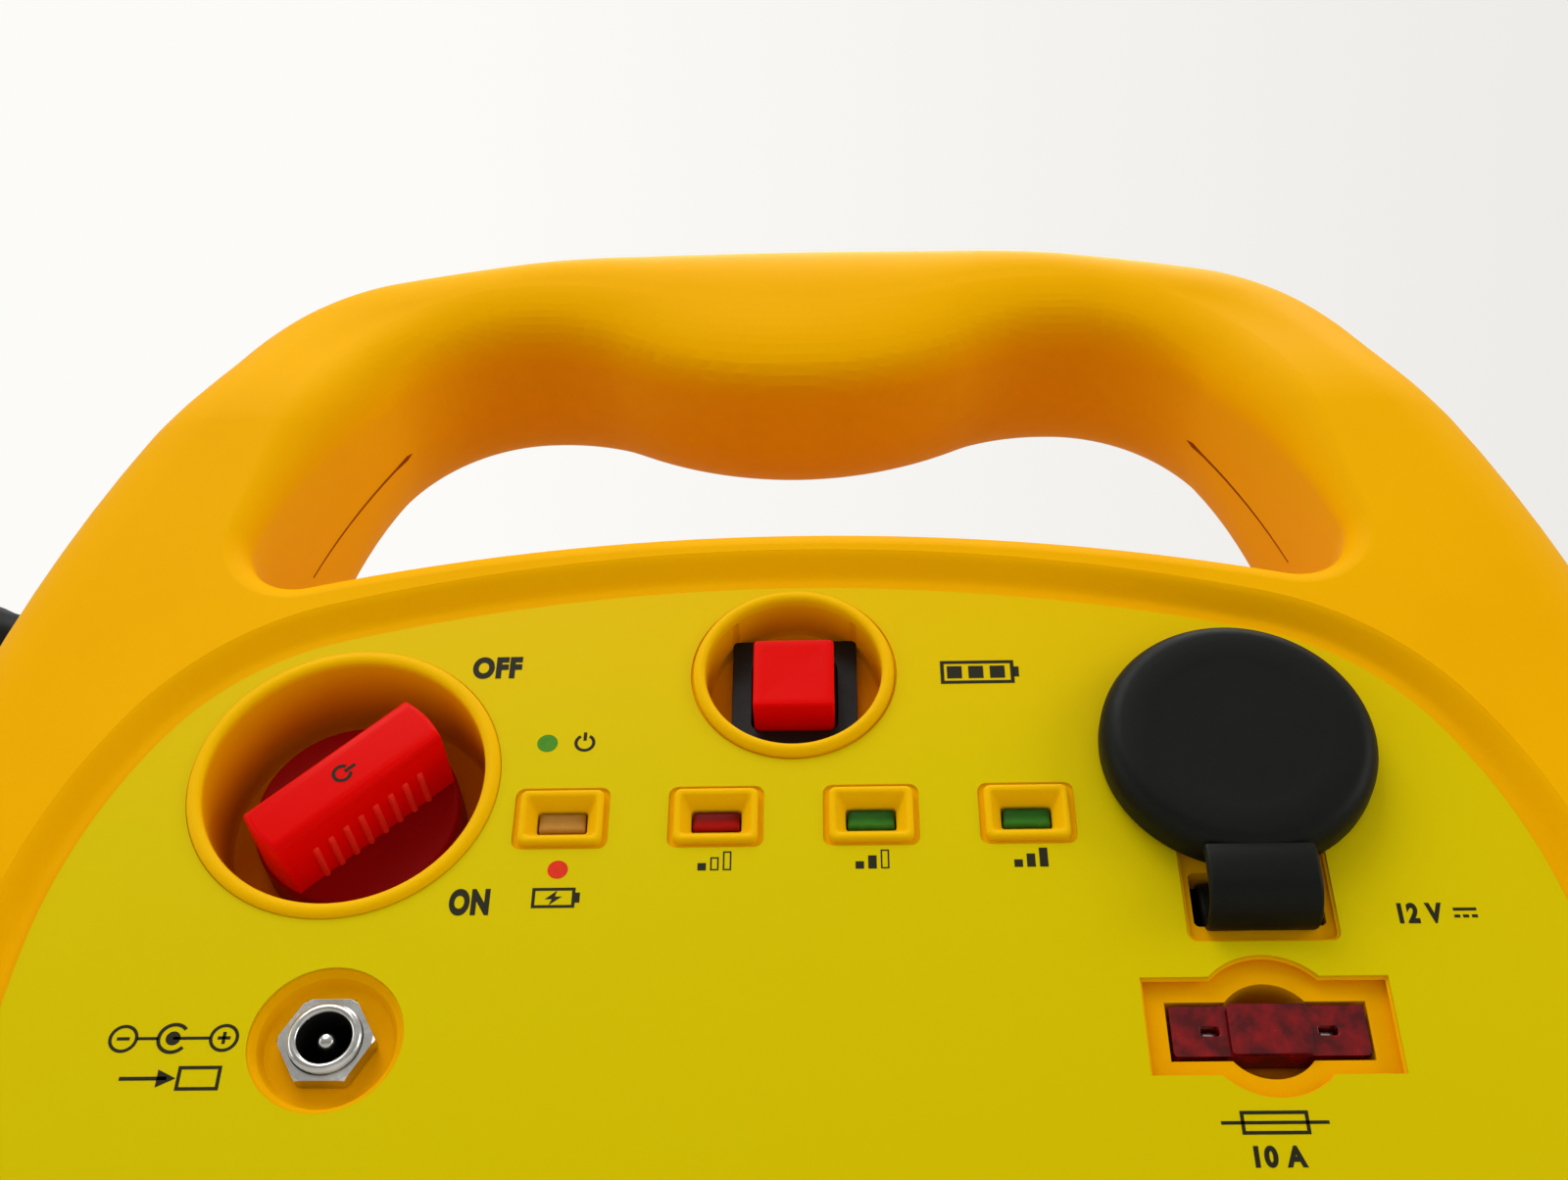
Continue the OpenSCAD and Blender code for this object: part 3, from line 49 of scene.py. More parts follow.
view = {"place": (4.916, -232.402, 63.198), "turn": (128.1923, -0.2546, 1.7529), "lens": 43.876, "sensor": 36}
cameraData = bpy.data.cameras.new("camera")
cameraData.lens, cameraData.sensor_width = view["lens"], view["sensor"]
cameraData.clip_start, cameraData.clip_end = 0.01, 20
camera = bpy.data.objects.new("camera", cameraData)
camera.location = [c * mm for c in view["place"]]
camera.rotation_euler = [math.radians(a) for a in view["turn"]]
scene = bpy.context.scene
scene.collection.objects.link(camera)
scene.camera = camera
scene.view_settings.view_transform = "Standard"


def srgb(*colour):
    # 0-255 screen colour to the renderer's linear one
    shares = [c / 255 for c in colour]
    return tuple(c / 12.92 if c <= 0.04045 else ((c + 0.055) / 1.055) ** 2.4 for c in shares) + (1.0,)


class Link:
    # A node's output; arithmetic on it adds the node that does the sum
    def __init__(self, finish, out):
        self.finish, self.out = finish, out

    def kind(self, value):
        if isinstance(value, Link):
            return value.out.type
        return "VECTOR" if isinstance(value, (tuple, list)) else "VALUE"

    def join(self, operation, other, swap=False):
        pair = (other, self) if swap else (self, other)
        kinds = {self.kind(value) for value in pair}
        if "RGBA" in kinds:
            settings = {"data_type": "RGBA", "blend_type": operation}
            return self.finish.node("Mix", settings, {0: 1.0, 6: pair[0], 7: pair[1]}, 2)
        if "VECTOR" in kinds:
            wide = [(p,) * 3 if isinstance(p, (int, float)) else p for p in pair]
            return self.finish.node("VectorMath", {"operation": operation}, {0: wide[0], 1: wide[1]})
        return self.finish.node("Math", {"operation": operation}, {0: pair[0], 1: pair[1]})

    def __add__(self, other):
        return self.join("ADD", other)

    def __radd__(self, other):
        return self.join("ADD", other, True)

    def __sub__(self, other):
        return self.join("SUBTRACT", other)

    def __rsub__(self, other):
        return self.join("SUBTRACT", other, True)

    def __mul__(self, other):
        return self.join("MULTIPLY", other)

    def __rmul__(self, other):
        return self.join("MULTIPLY", other, True)


class Finish:
    # A material or world in the making
    def __init__(self, name, slot=None, world=False):
        self.block = bpy.data.worlds.new(name) if world else bpy.data.materials.new(name)
        self.block.use_nodes = True
        self.tree, self.slot = self.block.node_tree, slot
        self.tree.nodes.clear()
        self.end = self.tree.nodes.new("ShaderNodeOutputWorld" if world else "ShaderNodeOutputMaterial")

    def node(self, kind, settings={}, values={}, out=0):
        made = self.tree.nodes.new("ShaderNode" + kind)
        for key, value in settings.items():
            if key == "stops":
                while len(made.color_ramp.elements) < len(value):
                    made.color_ramp.elements.new(0.5)
                for stop, (place, tone) in zip(made.color_ramp.elements, value):
                    stop.position = place
                    stop.color = tone if isinstance(tone, tuple) else (tone, tone, tone, 1)
            else:
                setattr(made, key, value)
        for key, value in values.items():
            if isinstance(value, Link):
                self.tree.links.new(value.out, made.inputs[key])
            else:
                made.inputs[key].default_value = value
        return Link(self, made.outputs[out])

    def where(self):
        return self.node("TexCoord", out=3)

    def noise(self, size, detail=3.0, rough=0.55, stretch=None):
        # size in millimetres; stretch scales x, y and z
        place = self.where() if stretch is None else self.where() * stretch
        values = {"Vector": place, "Scale": 1 / (size * mm), "Detail": detail, "Roughness": rough}
        return self.node("TexNoise", {}, values)

    def axis(self, i, vector=None):
        # one axis of a place, or of another vector
        return self.node("SeparateXYZ", {}, {"Vector": self.where() if vector is None else vector}, i)

    def reach(self, value, start, end, unit=mm):
        # 0 to 1 as the value goes from start to end
        return self.node("MapRange", {}, {"Value": value, "From Min": start * unit, "From Max": end * unit})

    def ramp(self, factor, stops):
        return self.node("ValToRGB", {"stops": stops}, {"Fac": factor})

    def blend(self, factor, a, b):
        return self.node("Mix", {"data_type": "RGBA"}, {0: factor, 6: a, 7: b}, 2)

    def bump(self, height, depth, strength=1.0, under=None):
        # depth in millimetres
        values = {"Height": height, "Distance": depth * mm, "Strength": strength}
        if under is not None:
            values["Normal"] = under
        return self.node("Bump", {}, values)

    def surface(self, **values):
        named = {key.replace("_", " "): value for key, value in values.items()}
        return self.close(self.node("BsdfPrincipled", {}, named))

    def close(self, shader):
        self.tree.links.new(shader.out, self.end.inputs["Surface"])
        return self


studio = {
    "backdrop": srgb(252, 251, 248), "backdropFar": srgb(236, 234, 230), "ambient": 0.42,
    "glow": [(0.0, (0.2, 0.2, 0.2, 1)), (0.5, (0.85, 0.84, 0.82, 1)), (1.0, (1.6, 1.58, 1.54, 1))],
    "floor": srgb(200, 199, 196), "floorRough": 0.8, "floorHalf": 900,
}
lamps = {  # place, what it aims at and size in millimetres, then power
    "keyLamp": ((-240, -540, 860), (0, -30, 170), (520, 520), 3.3),
    "topLamp": ((100, 60, 950), (0, -20, 200), (600, 400), 3.0),
    "sideLamp": ((760, -420, 340), (0, -40, 150), (300, 500), 1.6),
    "fillLamp": ((-780, -400, 340), (0, -40, 150), (300, 500), 0.9),
}


def makeWorld():
    sky = Finish("studioSky", world=True)
    rays = sky.tree.nodes.new("ShaderNodeLightPath")
    seen = Link(sky, rays.outputs["Is Camera Ray"]) + Link(sky, rays.outputs["Is Transmission Ray"])
    seen = sky.node("Math", {"operation": "MINIMUM"}, {0: seen, 1: 1.0})
    across = sky.axis(0, sky.node("TexCoord", out=0))
    # painted shade: the backdrop that the camera sees greys towards the right
    tone = sky.blend(sky.reach(across, -0.2, 0.4, 1), studio["backdrop"], studio["backdropFar"])
    high = sky.axis(2, sky.node("TexCoord", out=0))
    glow = sky.ramp(sky.reach(high, -0.8, 0.9, 1), studio["glow"])
    soft = sky.node("Background", {}, {"Color": glow, "Strength": studio["ambient"]})
    plain = sky.node("Background", {}, {"Color": tone, "Strength": 1.0})
    sky.close(sky.node("MixShader", {}, {0: seen, 1: soft, 2: plain}))
    scene.world = sky.block


def makeLamp(name, place, aim, size, power):
    data = bpy.data.lights.new(name, "AREA")
    data.shape, data.size, data.size_y = "RECTANGLE", size[0] * mm, size[1] * mm
    data.energy = power
    lamp = bpy.data.objects.new(name, data)
    lamp.location = [c * mm for c in place]
    lamp.rotation_euler = (Vector(aim) - Vector(place)).to_track_quat("-Z", "Y").to_euler()
    scene.collection.objects.link(lamp)


makeWorld()
for name, lamp in lamps.items():
    makeLamp(name, *lamp)
print("stage and lamps")


meshing = {"join": 0.0004, "joinRaw": 0.0005, "joinCarved": 0.0008}  # how near points become one


class Build:
    # Points in millimetres and faces, gathered into one mesh
    def __init__(self):
        self.points, self.faces, self.marks, self.mark = [], [], [], 0

    def ring(self, points):
        start = len(self.points)
        self.points += [tuple(p) for p in points]
        return list(range(start, len(self.points)))

    def face(self, corners):
        self.faces.append(tuple(corners))
        self.marks.append(self.mark)

    def strip(self, a, b, closed=True):
        count = len(a)
        for i in range(count if closed else count - 1):
            j = (i + 1) % count
            self.face((a[i], a[j], b[j], b[i]))

    def rows(self, rings, closed=True, caps=(False, False)):
        made = [self.ring(r) for r in rings]
        for a, b in zip(made, made[1:]):
            self.strip(a, b, closed)
        if caps[0]:
            self.face(made[0][::-1])
        if caps[1]:
            self.face(made[-1])
        return made

    def lathe(self, profile, place, turns=64, caps=(False, False)):
        # profile points are (radius, along); place turns (x, up, along) into a point
        turn = [math.tau * i / turns for i in range(turns)]
        rings = [[place(r * math.cos(t), r * math.sin(t), d) for t in turn] for r, d in profile]
        return self.rows(rings, True, caps)

    def band(self, profile, place, turns):
        # a lathe whose profile closes on itself, round a hole
        loop = self.lathe(profile, place, turns)
        self.strip(loop[-1], loop[0])

    def make(self, name, finishes, body="case", smooth=35):
        mesh = bpy.data.meshes.new(name)
        mesh.from_pydata([tuple(c * mm for c in p) for p in self.points], [], self.faces)
        finishes = finishes if isinstance(finishes, (list, tuple)) else [finishes]
        for finish in finishes:
            mesh.materials.append(finish.block)
        mesh.polygons.foreach_set("material_index", self.marks)
        work = bmesh.new()
        work.from_mesh(mesh)
        bmesh.ops.remove_doubles(work, verts=work.verts, dist=meshing["join"] * mm)
        bmesh.ops.dissolve_degenerate(work, edges=work.edges, dist=1e-7)
        bmesh.ops.recalc_face_normals(work, faces=work.faces)
        work.to_mesh(mesh)
        work.free()
        mesh.shade_smooth()
        mesh.set_sharp_from_angle(angle=math.radians(smooth))
        piece = bpy.data.objects.new(name, mesh)
        scene.collection.objects.link(piece)
        if body:
            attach(piece, body)
        return piece


# x is right, y back and z up; on the panel a place is x, up from the datum, and depth behind the label
pack = {
    "halfWidth": 102.5, "height": 271.5, "front": -56.0, "part": -36.0, "grip": -21.5, "back": 56.0,
    "label": -54.2, "datum": 200.5,
}


def onPanel(x, up):
    return lambda dx, dUp, depth: (x + dx, pack["label"] + depth, pack["datum"] + up + dUp)


def smoothPath(points, steps):
    # a smooth line through the points
    p, line = [Vector(q) for q in points], []
    for i in range(len(p) - 1):
        a, b, c, d = p[max(i - 1, 0)], p[i], p[i + 1], p[min(i + 2, len(p) - 1)]
        for j in range(steps):
            t = j / steps
            square, cube = 2 * a - 5 * b + 4 * c - d, 3 * b - a - 3 * c + d
            line.append(0.5 * (2 * b + (c - a) * t + square * t ** 2 + cube * t ** 3))
    return line + [p[-1]]


cable = {
    "radius": 4.0, "exitAngle": 72.4, "exitY": -28.0, "sideRadius": 195.0, "sideHeight": 153.868,
    "glandOut": 11.0,
}
exitDir = Vector((math.sin(math.radians(cable["exitAngle"])), 0, math.cos(math.radians(cable["exitAngle"]))))
exitPoint = Vector((pack["halfWidth"] - cable["sideRadius"] * (1 - exitDir.x), cable["exitY"],
                    cable["sideHeight"] + cable["sideRadius"] * exitDir.z))
cableMouth = exitPoint + cable["glandOut"] * exitDir
cableEnd = Vector((116, -33, 44))
cableRoute = [
    cableMouth, cableMouth + 4 * exitDir, (112, -28, 218.9), (119, -25, 218), (125, -19, 214),
    (129, -10, 205), (131, 1, 192), (131, 11, 176), (130, 19, 156), (128, 25, 134), (126, 29, 110),
    (124, 31, 86), (122, 31, 62), (120, 29, 40), (118, 21, 22), (117, 9, 11), (116, -5, 9), (116, -19, 15),
    (116, -29, 27), cableEnd - Vector((0, 0, 10)), cableEnd - Vector((0, 0, 4)), cableEnd]


white, amberGleam, redGleam = (1, 1, 1, 1), (1.0, 0.72, 0.06, 1), (1.0, 0.22, 0.16, 1)
# slot, tone, darker tone, grain, its depth, roughness, shine, gleam, then tones of the painted shade in the
# wells and of the painted shade under the bar
plastics = {
    "casePlastic": ("case_plastic", (248, 182, 0), (242, 173, 0), 0.32, 0.022, 0.5, 0.03, amberGleam,
                    (222, 122, 0), (182, 96, 0)),
    "backPlastic": ("case_plastic", (248, 182, 0), (242, 173, 0), 0.32, 0.022, 0.5, 0.03, amberGleam,
                    None, (182, 96, 0)),
    # a lighter, glossier copy of the case plastic: painted highlight on the rims, the bead and the lamp frames
    "rimPlastic": ("case_plastic", (248, 193, 0), (242, 183, 0), 0.32, 0.018, 0.45, 0.1, amberGleam),
    "redPlastic": ("red_plastic", (234, 3, 1), (224, 2, 1), 0.5, 0.012, 0.4, 0.14, redGleam),
    # painted shade of the parting seam's groove
    "seamShade": ("case_plastic", (150, 74, 0), (132, 62, 0), 0.4, 0.01, 0.6, 0.03, amberGleam),
    # a paler copy of the knob's red: painted sheen on its ribs
    "ribRed": ("red_plastic", (240, 52, 40), (232, 40, 30), 0.5, 0.01, 0.35, 0.3, redGleam),
    # a darker copy of the knob's red: painted shade on the disc down in its well
    "knobDisc": ("red_plastic", (146, 4, 6), (132, 3, 5), 0.5, 0.012, 0.42, 0.14, redGleam),
    "blackPlastic": ("black_plastic", (22, 22, 21), (15, 15, 14), 0.45, 0.02, 0.42, 0.22, white),
    "gripBlack": ("black_plastic", (32, 32, 31), (22, 22, 21), 0.6, 0.05, 0.55, 0.3, white),
    "gripRed": ("red_plastic", (202, 16, 10), (182, 11, 8), 0.6, 0.05, 0.5, 0.3, redGleam),
    "blackRubber": ("black_rubber", (18, 21, 16), (12, 14, 11), 0.28, 0.014, 0.46, 0.12, white),
    "greyBattery": ("grey_battery", (74, 76, 80), (62, 64, 68), 0.9, 0.05, 0.55, 0.25, white),
    "ivoryInsulator": ("ivory_insulator", (222, 216, 196), (205, 198, 176), 0.5, 0.01, 0.4, 0.25, white),
    "redInsulation": ("red_insulation", (168, 22, 18), (142, 16, 14), 0.7, 0.02, 0.45, 0.25, white),
}
metals = {  # slot, tone, dull tone, roughness, and how the brushing is stretched
    "nickel": ("steel", (214, 213, 208), (180, 178, 172), 0.22, (1, 6, 1)),
    "springSteel": ("steel", (172, 172, 170), (138, 137, 134), 0.3, (4, 1, 1)),
    "copperJaw": ("copper", (214, 138, 96), (168, 98, 66), 0.28, (1, 1, 5)),
}
lenses = {  # slot, and tones of its top, of its foot and of the painted reflection between
    "amberLens": ("amber_lens", (140, 94, 24), (168, 118, 40), (196, 146, 70)),
    "redLens": ("red_lens", (84, 4, 2), (128, 8, 4), (176, 20, 10)),
    "greenLens": ("green_lens", (14, 58, 8), (36, 92, 18), (62, 126, 40)),
}
inks = {"printBlack": (34, 32, 12), "printGreen": (70, 134, 22), "printRed": (214, 44, 12)}
shades = {  # where the painted tones begin and end: shade in the case's wells and under the bar, light towards the label's top, and the lens's reflection
    "sunk": (0.6, 9), "low": (4, 1), "high": (-84, -78), "inner": (78, 74),
    "under": (-0.45, -1.0), "grip": (34, 42), "grime": 0.5, "grimeDrift": 0.1,
    "film": (-70, 3), "lens": (-29.5, -26.9),
}


def makeFinishes():
    made = {}

    def plastic(name, slot, tone, dark, size, depth, rough, shine, gleam, wells=None, grime=None):
        # fine grain from two noises, a slow drift of tone, and polish that varies a little; painted shade in
        # the wells and under the bar where asked
        f = Finish(name, slot)
        grain, coarse, drift = f.noise(size, 4), f.noise(size * 7, 3), f.noise(34, 3)
        cloud = f.ramp(drift * 0.75 + grain * 0.25, [(0.3, 0.0), (0.75, 1.0)])
        tint = f.blend(cloud, srgb(*dark), srgb(*tone))
        if wells:
            # painted shade where it lies deeper behind the label, below its top and inside the case's sides
            sunk = f.reach(f.axis(1), *[pack["label"] + e for e in shades["sunk"]])
            low = f.reach(f.axis(2), *[pack["datum"] + e for e in shades["low"]])
            high = f.reach(f.axis(2), *[pack["datum"] + e for e in shades["high"]])
            inner = f.reach(f.node("Math", {"operation": "ABSOLUTE"}, {0: f.axis(0)}), *shades["inner"])
            tint = f.blend(sunk * low * high * inner, tint, srgb(*wells))
        if grime:
            # painted shade on the bar's faces that point down, with a slow drift in how much
            under = f.reach(f.axis(2, f.node("NewGeometry", out=1)), *shades["under"], 1)
            grip = f.reach(f.axis(2), *[pack["datum"] + e for e in shades["grip"]])
            much = shades["grime"] + coarse * shades["grimeDrift"]
            tint = f.blend(under * grip * much, tint, srgb(*grime))
        f.surface(Base_Color=tint, Roughness=rough + (coarse - 0.5) * 0.16, Specular_IOR_Level=shine,
                  Specular_Tint=gleam, Normal=f.bump(grain + coarse * 0.6, depth))
        made[name] = f

    def metal(name, slot, tone, dull, rough, stretch):
        f = Finish(name, slot)
        brush, cloud = f.noise(0.6, 4, stretch=stretch), f.noise(6, 4)
        f.surface(Base_Color=f.blend(f.ramp(cloud, [(0.35, 0.0), (0.7, 1.0)]), srgb(*dull), srgb(*tone)),
                  Metallic=1.0, Roughness=rough + (brush - 0.5) * 0.22 + (cloud - 0.5) * 0.1,
                  Normal=f.bump(brush, 0.01))
        made[name] = f

    def lens(name, slot, top, low, glow):
        # a tinted moulding: darker above, a paler strip along its lower lip that is a painted reflection, a
        # clouded spot inside
        f = Finish(name, slot)
        lift = f.reach(f.axis(2), *[pack["datum"] + e for e in shades["lens"]])
        cloud = f.noise(1.3, 3)
        stops = [(0.0, srgb(*low)), (0.22, srgb(*glow)), (0.5, srgb(*low)), (1.0, srgb(*top))]
        f.surface(Base_Color=f.ramp(lift + (cloud - 0.5) * 0.25, stops), Roughness=0.34 + cloud * 0.12,
                  Specular_IOR_Level=0.08, Normal=f.bump(cloud, 0.02))
        made[name] = f

    def ink(name, tone):
        f = Finish(name, "label_film")
        wear, worn = f.noise(0.5, 3), tuple(c * 1.25 for c in srgb(*tone)[:3]) + (1,)
        f.surface(Base_Color=f.blend(f.ramp(wear, [(0.35, 0.0), (0.8, 1.0)]), srgb(*tone), worn),
                  Roughness=0.45 + wear * 0.2, Specular_IOR_Level=0.15, Normal=f.bump(wear, 0.004))
        made[name] = f

    for kinds, maker in ((plastics, plastic), (metals, metal), (lenses, lens)):
        for name, values in kinds.items():
            maker(name, *values)
    for name, tone in inks.items():
        ink(name, tone)

    film = Finish("labelFilm", "label_film")
    drift, weave, specks = film.noise(46, 3), film.noise(0.9, 2), film.noise(0.22, 2)
    # painted light: the label grows lighter and warmer towards its top; the flecks are the film's own
    rise = film.reach(film.axis(2), *[pack["datum"] + e for e in shades["film"]])
    paintedTopLight = film.ramp(rise + (drift - 0.5) * 0.3,
                     [(0.0, srgb(214, 194, 0)), (0.6, srgb(220, 197, 0)), (1.0, srgb(234, 194, 0))])
    fleck = film.ramp(drift * 0.6 + specks * 0.4, [(0.3, 0.0), (0.7, 0.12)])
    tint = film.blend(fleck, paintedTopLight, srgb(190, 172, 0))
    film.surface(Base_Color=tint, Roughness=0.38 + (drift - 0.5) * 0.2, Specular_IOR_Level=0.1,
                 Specular_Tint=(1.0, 0.85, 0.15, 1), Normal=film.bump(weave + drift * 8, 0.006))
    made["labelFilm"] = film

    fuse = Finish("fusePlastic", "fuse_plastic")
    cloud = fuse.noise(2.2, 3)
    tint = fuse.blend(fuse.ramp(cloud, [(0.4, 0.0), (0.66, 1.0)]), srgb(96, 0, 6), srgb(158, 3, 12))
    fuse.surface(Base_Color=tint, Roughness=0.18 + cloud * 0.14, Specular_IOR_Level=0.3,
                 Transmission_Weight=0.3, IOR=1.49, Normal=fuse.bump(cloud, 0.03))
    made["fusePlastic"] = fuse

    circuit = Finish("circuitBoard", "board")
    spot = circuit.where() * (1, 0, 1) * 1.0
    track = circuit.node("TexBrick", {}, {"Vector": spot, "Scale": 260.0, "Mortar Size": 0.03})
    tint = circuit.blend(circuit.ramp(track, [(0.3, 0.0), (0.6, 1.0)]), srgb(38, 120, 62), srgb(16, 78, 38))
    circuit.surface(Base_Color=tint, Roughness=0.4 + circuit.noise(2, 3) * 0.2,
                    Normal=circuit.bump(track, 0.02))
    made["circuitBoard"] = circuit

    foam = Finish("foamGrey", "foam")
    cell = foam.node("TexVoronoi", {}, {"Vector": foam.where(), "Scale": 900.0})
    tint = foam.blend(foam.ramp(cell, [(0.1, 0.0), (0.6, 1.0)]), srgb(48, 48, 50), srgb(82, 82, 84))
    foam.surface(Base_Color=tint, Roughness=0.92, Normal=foam.bump(cell, 0.3))
    made["foamGrey"] = foam
    return made


finish = makeFinishes()
nodeFinish = {
    "casing_screws": "nickel", "switch_spindle": "nickel", "power_switch_body": "blackPlastic",
    "switch_studs": "copperJaw", "indicator_board": "circuitBoard", "board_screws": "nickel",
    "socket_barrel": "nickel", "socket_nut": "blackPlastic", "socket_insulator": "ivoryInsulator",
    "socket_contact": "copperJaw", "fuse_blades": "nickel", "fuse_holder": "blackPlastic",
    "battery_case": "greyBattery", "battery_terminals": "copperJaw", "battery_strap": "nickel",
    "foam_pads": "foamGrey", "switch_lead": "redInsulation", "battery_lead": "redInsulation",
    "ground_lead": "blackRubber",
}
for node, kind in nodeFinish.items():
    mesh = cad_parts[node].data
    mesh.materials.clear()
    mesh.materials.append(finish[kind].block)
print("finishes", len(finish))

# outlines are points (x, z, angle), where the angle is the outward normal's from straight up


def sin(angle):
    return math.sin(math.radians(angle))


def cos(angle):
    return math.cos(math.radians(angle))


def clamp(value):
    return max(0.0, min(1.0, value))


case = {
    "crownR": 280, "shoulderR": 30, "shoulderTurn": 60, "sideR": 195, "cornerR": 22, "foot": 4, "wall": 2.6,
    "edge": 11, "barIn": 4, "barFront": 8, "barBack": 14, "barFlat": 1, "backR": 13, "backDrop": 17,
    "gripUp": 41.5, "swellR": 47, "fingerR": 25, "fingerX": 36, "cornerTop": 21.5, "jambR": 96,
    "cornerLow": 6.5, "cornerTurn": 58, "jambTurn": 76.5, "sillTurn": 13.5, "sillEdge": 3.5,
    "growUp": 32, "barLow": 30, "barGrow": 26, "barGrowWide": 30,
    "tankR": 253, "tankShoulder": 20, "tankSill": 0.6,
}
fineness = 3


def arc(p, r, a, b, n, first=1):
    turn = [a + (b - a) * i / n for i in range(first, n + 1)]
    return [(p[0] + r * (sin(t) - sin(a)), p[1] + r * (cos(t) - cos(a)), t) for t in turn]


def chain(points, arcs):
    for r, to, n in arcs:
        points = points + arc(points[-1], r, points[-1][2], to, n * fineness)
    return points


def both(half, low=0):
    return half + [(-x, z, -a) for x, z, a in half[len(half) - 1 - low:0:-1]]


def sideCorner():
    # from the side's foot round to the underside
    return arc((pack["halfWidth"], case["foot"] + case["cornerR"]), case["cornerR"], 90, 180, 5 * fineness, 0)


def outerLine():
    c, half, turn = case, pack["halfWidth"], case["shoulderTurn"]
    crown = half - c["shoulderR"] * sin(turn) - c["sideR"] * (1 - sin(turn))
    crown /= c["crownR"] - c["shoulderR"]
    arcs = [(c["crownR"], math.degrees(math.asin(crown)), 5), (c["shoulderR"], turn, 8), (c["sideR"], 90, 5)]
    return chain([(0, pack["height"], 0)], arcs) + sideCorner()


outerHalf = outerLine()
outer = both(outerHalf)
sideZ = outerHalf[18 * fineness][1]
swellTurn = math.degrees(math.asin(case["fingerX"] / (case["swellR"] + case["fingerR"])))
openingHead = chain([(0, pack["datum"] + case["gripUp"], 0)], [
    (-case["swellR"], -swellTurn, 4), (case["fingerR"], 0, 4), (case["cornerTop"], case["cornerTurn"], 7),
    (case["jambR"], case["jambTurn"], 4), (case["cornerLow"], 180 + case["sillTurn"], 8)])
opening = both(chain(openingHead, [(-openingHead[-1][0] / sin(case["sillTurn"]), 180, 5)]), 1)
sillZ = min(z for x, z, a in opening if abs(x) < 1.5)
tankTop = sillZ - case["sillEdge"] - case["tankSill"]


def tank(top):
    c = case
    p, q = Vector((0, top - c["tankR"])), Vector((pack["halfWidth"] - c["sideR"], sideZ))
    rp, rq = c["tankR"] - c["tankShoulder"], c["sideR"] - c["tankShoulder"]
    d = (q - p).length
    a = (rp * rp - rq * rq + d * d) / (2 * d)
    u = (q - p) / d
    m = p + a * u + math.sqrt(rp * rp - a * a) * Vector((u.y, -u.x))
    turns = [math.degrees(math.atan2(m.x - k.x, m.y - k.y)) for k in (p, q)]
    arcs = [(c["tankR"], turns[0], 5), (c["tankShoulder"], turns[1], 8), (c["sideR"], 90, 5)]
    return both(chain([(0, top, 0)], arcs) + sideCorner())


def barRound(x):
    # height of the bar's rounding at x
    c = case
    a, swell = min(abs(x), c["fingerX"]), c["swellR"] * sin(swellTurn)
    k = (c["swellR"] + c["fingerR"]) * (1 - cos(swellTurn))
    crown = pack["height"] - c["crownR"] + math.sqrt(c["crownR"] ** 2 - a * a)
    grip = pack["datum"] + c["gripUp"] + (
        c["swellR"] - math.sqrt(c["swellR"] ** 2 - a * a) if a < swell
        else k - c["fingerR"] + math.sqrt(c["fingerR"] ** 2 - (c["fingerX"] - a) ** 2))
    return (crown - grip - c["barFlat"]) / 2


def ease(v):
    v = clamp(v)
    return v * v * (3 - 2 * v)


def barShare(z):
    # 0 below the bar, 1 at it
    return ease((z - pack["datum"] - case["barLow"]) / case["barGrow"])


def faceIn(z):
    return case["barIn"] * barShare(z)


def holeEdge(p, depth):
    w, low = ease((p[1] - sillZ + 1) / case["growUp"]), case["sillEdge"]
    return low + (depth - low) * w, low + (barRound(p[0]) - low) * w


def outerEdge(p, depth):
    r = case["edge"]
    near = clamp(1 - (abs(p[0]) - case["fingerX"]) / case["barGrowWide"]) if p[1] >= pack["datum"] else 0
    return r + (depth - r) * barShare(p[1]), r + (barRound(p[0]) - r) * near


def away(p, e, y):
    return (p[0] + e * sin(p[2]), y, p[1] + e * cos(p[2]))


def flatRing(line, y, e):
    return [away(p, -e, y) for p in line]


def frontRing(y, t, g=0.0):
    made = []
    for p in outer:
        depth, height = outerEdge(p, case["barFront"] + case["barIn"])
        made.append(away(p, -(g + (height - g) * (1 - cos(t))), y + (depth - g) * (1 - sin(t))))
    return made


def backRing(y, t, g):
    made = []
    for p in outer:
        depth, height = outerEdge(p, case["barBack"])
        w = ease((p[1] - sideZ) / (sillZ - sideZ))
        made.append(away(p, -(g + (height - g) * (1 - cos(t)) * w), y - (depth - g) * (1 - sin(t))))
    return made


def holeRing(y, side, t, g):
    made = []
    for p in opening:
        depth, height = holeEdge(p, case["barFront"] if side > 0 else case["barBack"])
        depth += faceIn(p[1]) if side > 0 else 0
        made.append(away(p, g + height * (1 - cos(t)), y + side * depth * (1 - sin(t))))
    return made


def setBack(piece):
    # the bar's face lies behind the panel's: a smooth shift that fades out over the depth of the rounded edge
    mesh, y, reach = piece.data, pack["front"], case["barFront"] + case["barIn"]
    work = bmesh.new()
    work.from_mesh(mesh)
    for i in range(1, 33):
        z = pack["datum"] + case["barLow"] + case["barGrow"] * i / 32
        bmesh.ops.bisect_plane(work, geom=work.verts[:] + work.edges[:] + work.faces[:], dist=1e-6,
                               plane_co=(0, 0, z * mm), plane_no=(0, 0, 1))
    for v in work.verts:
        v.co.y += faceIn(v.co.z / mm) * clamp(1 - (v.co.y / mm - y) / reach) * mm
    work.to_mesh(mesh)
    work.free()


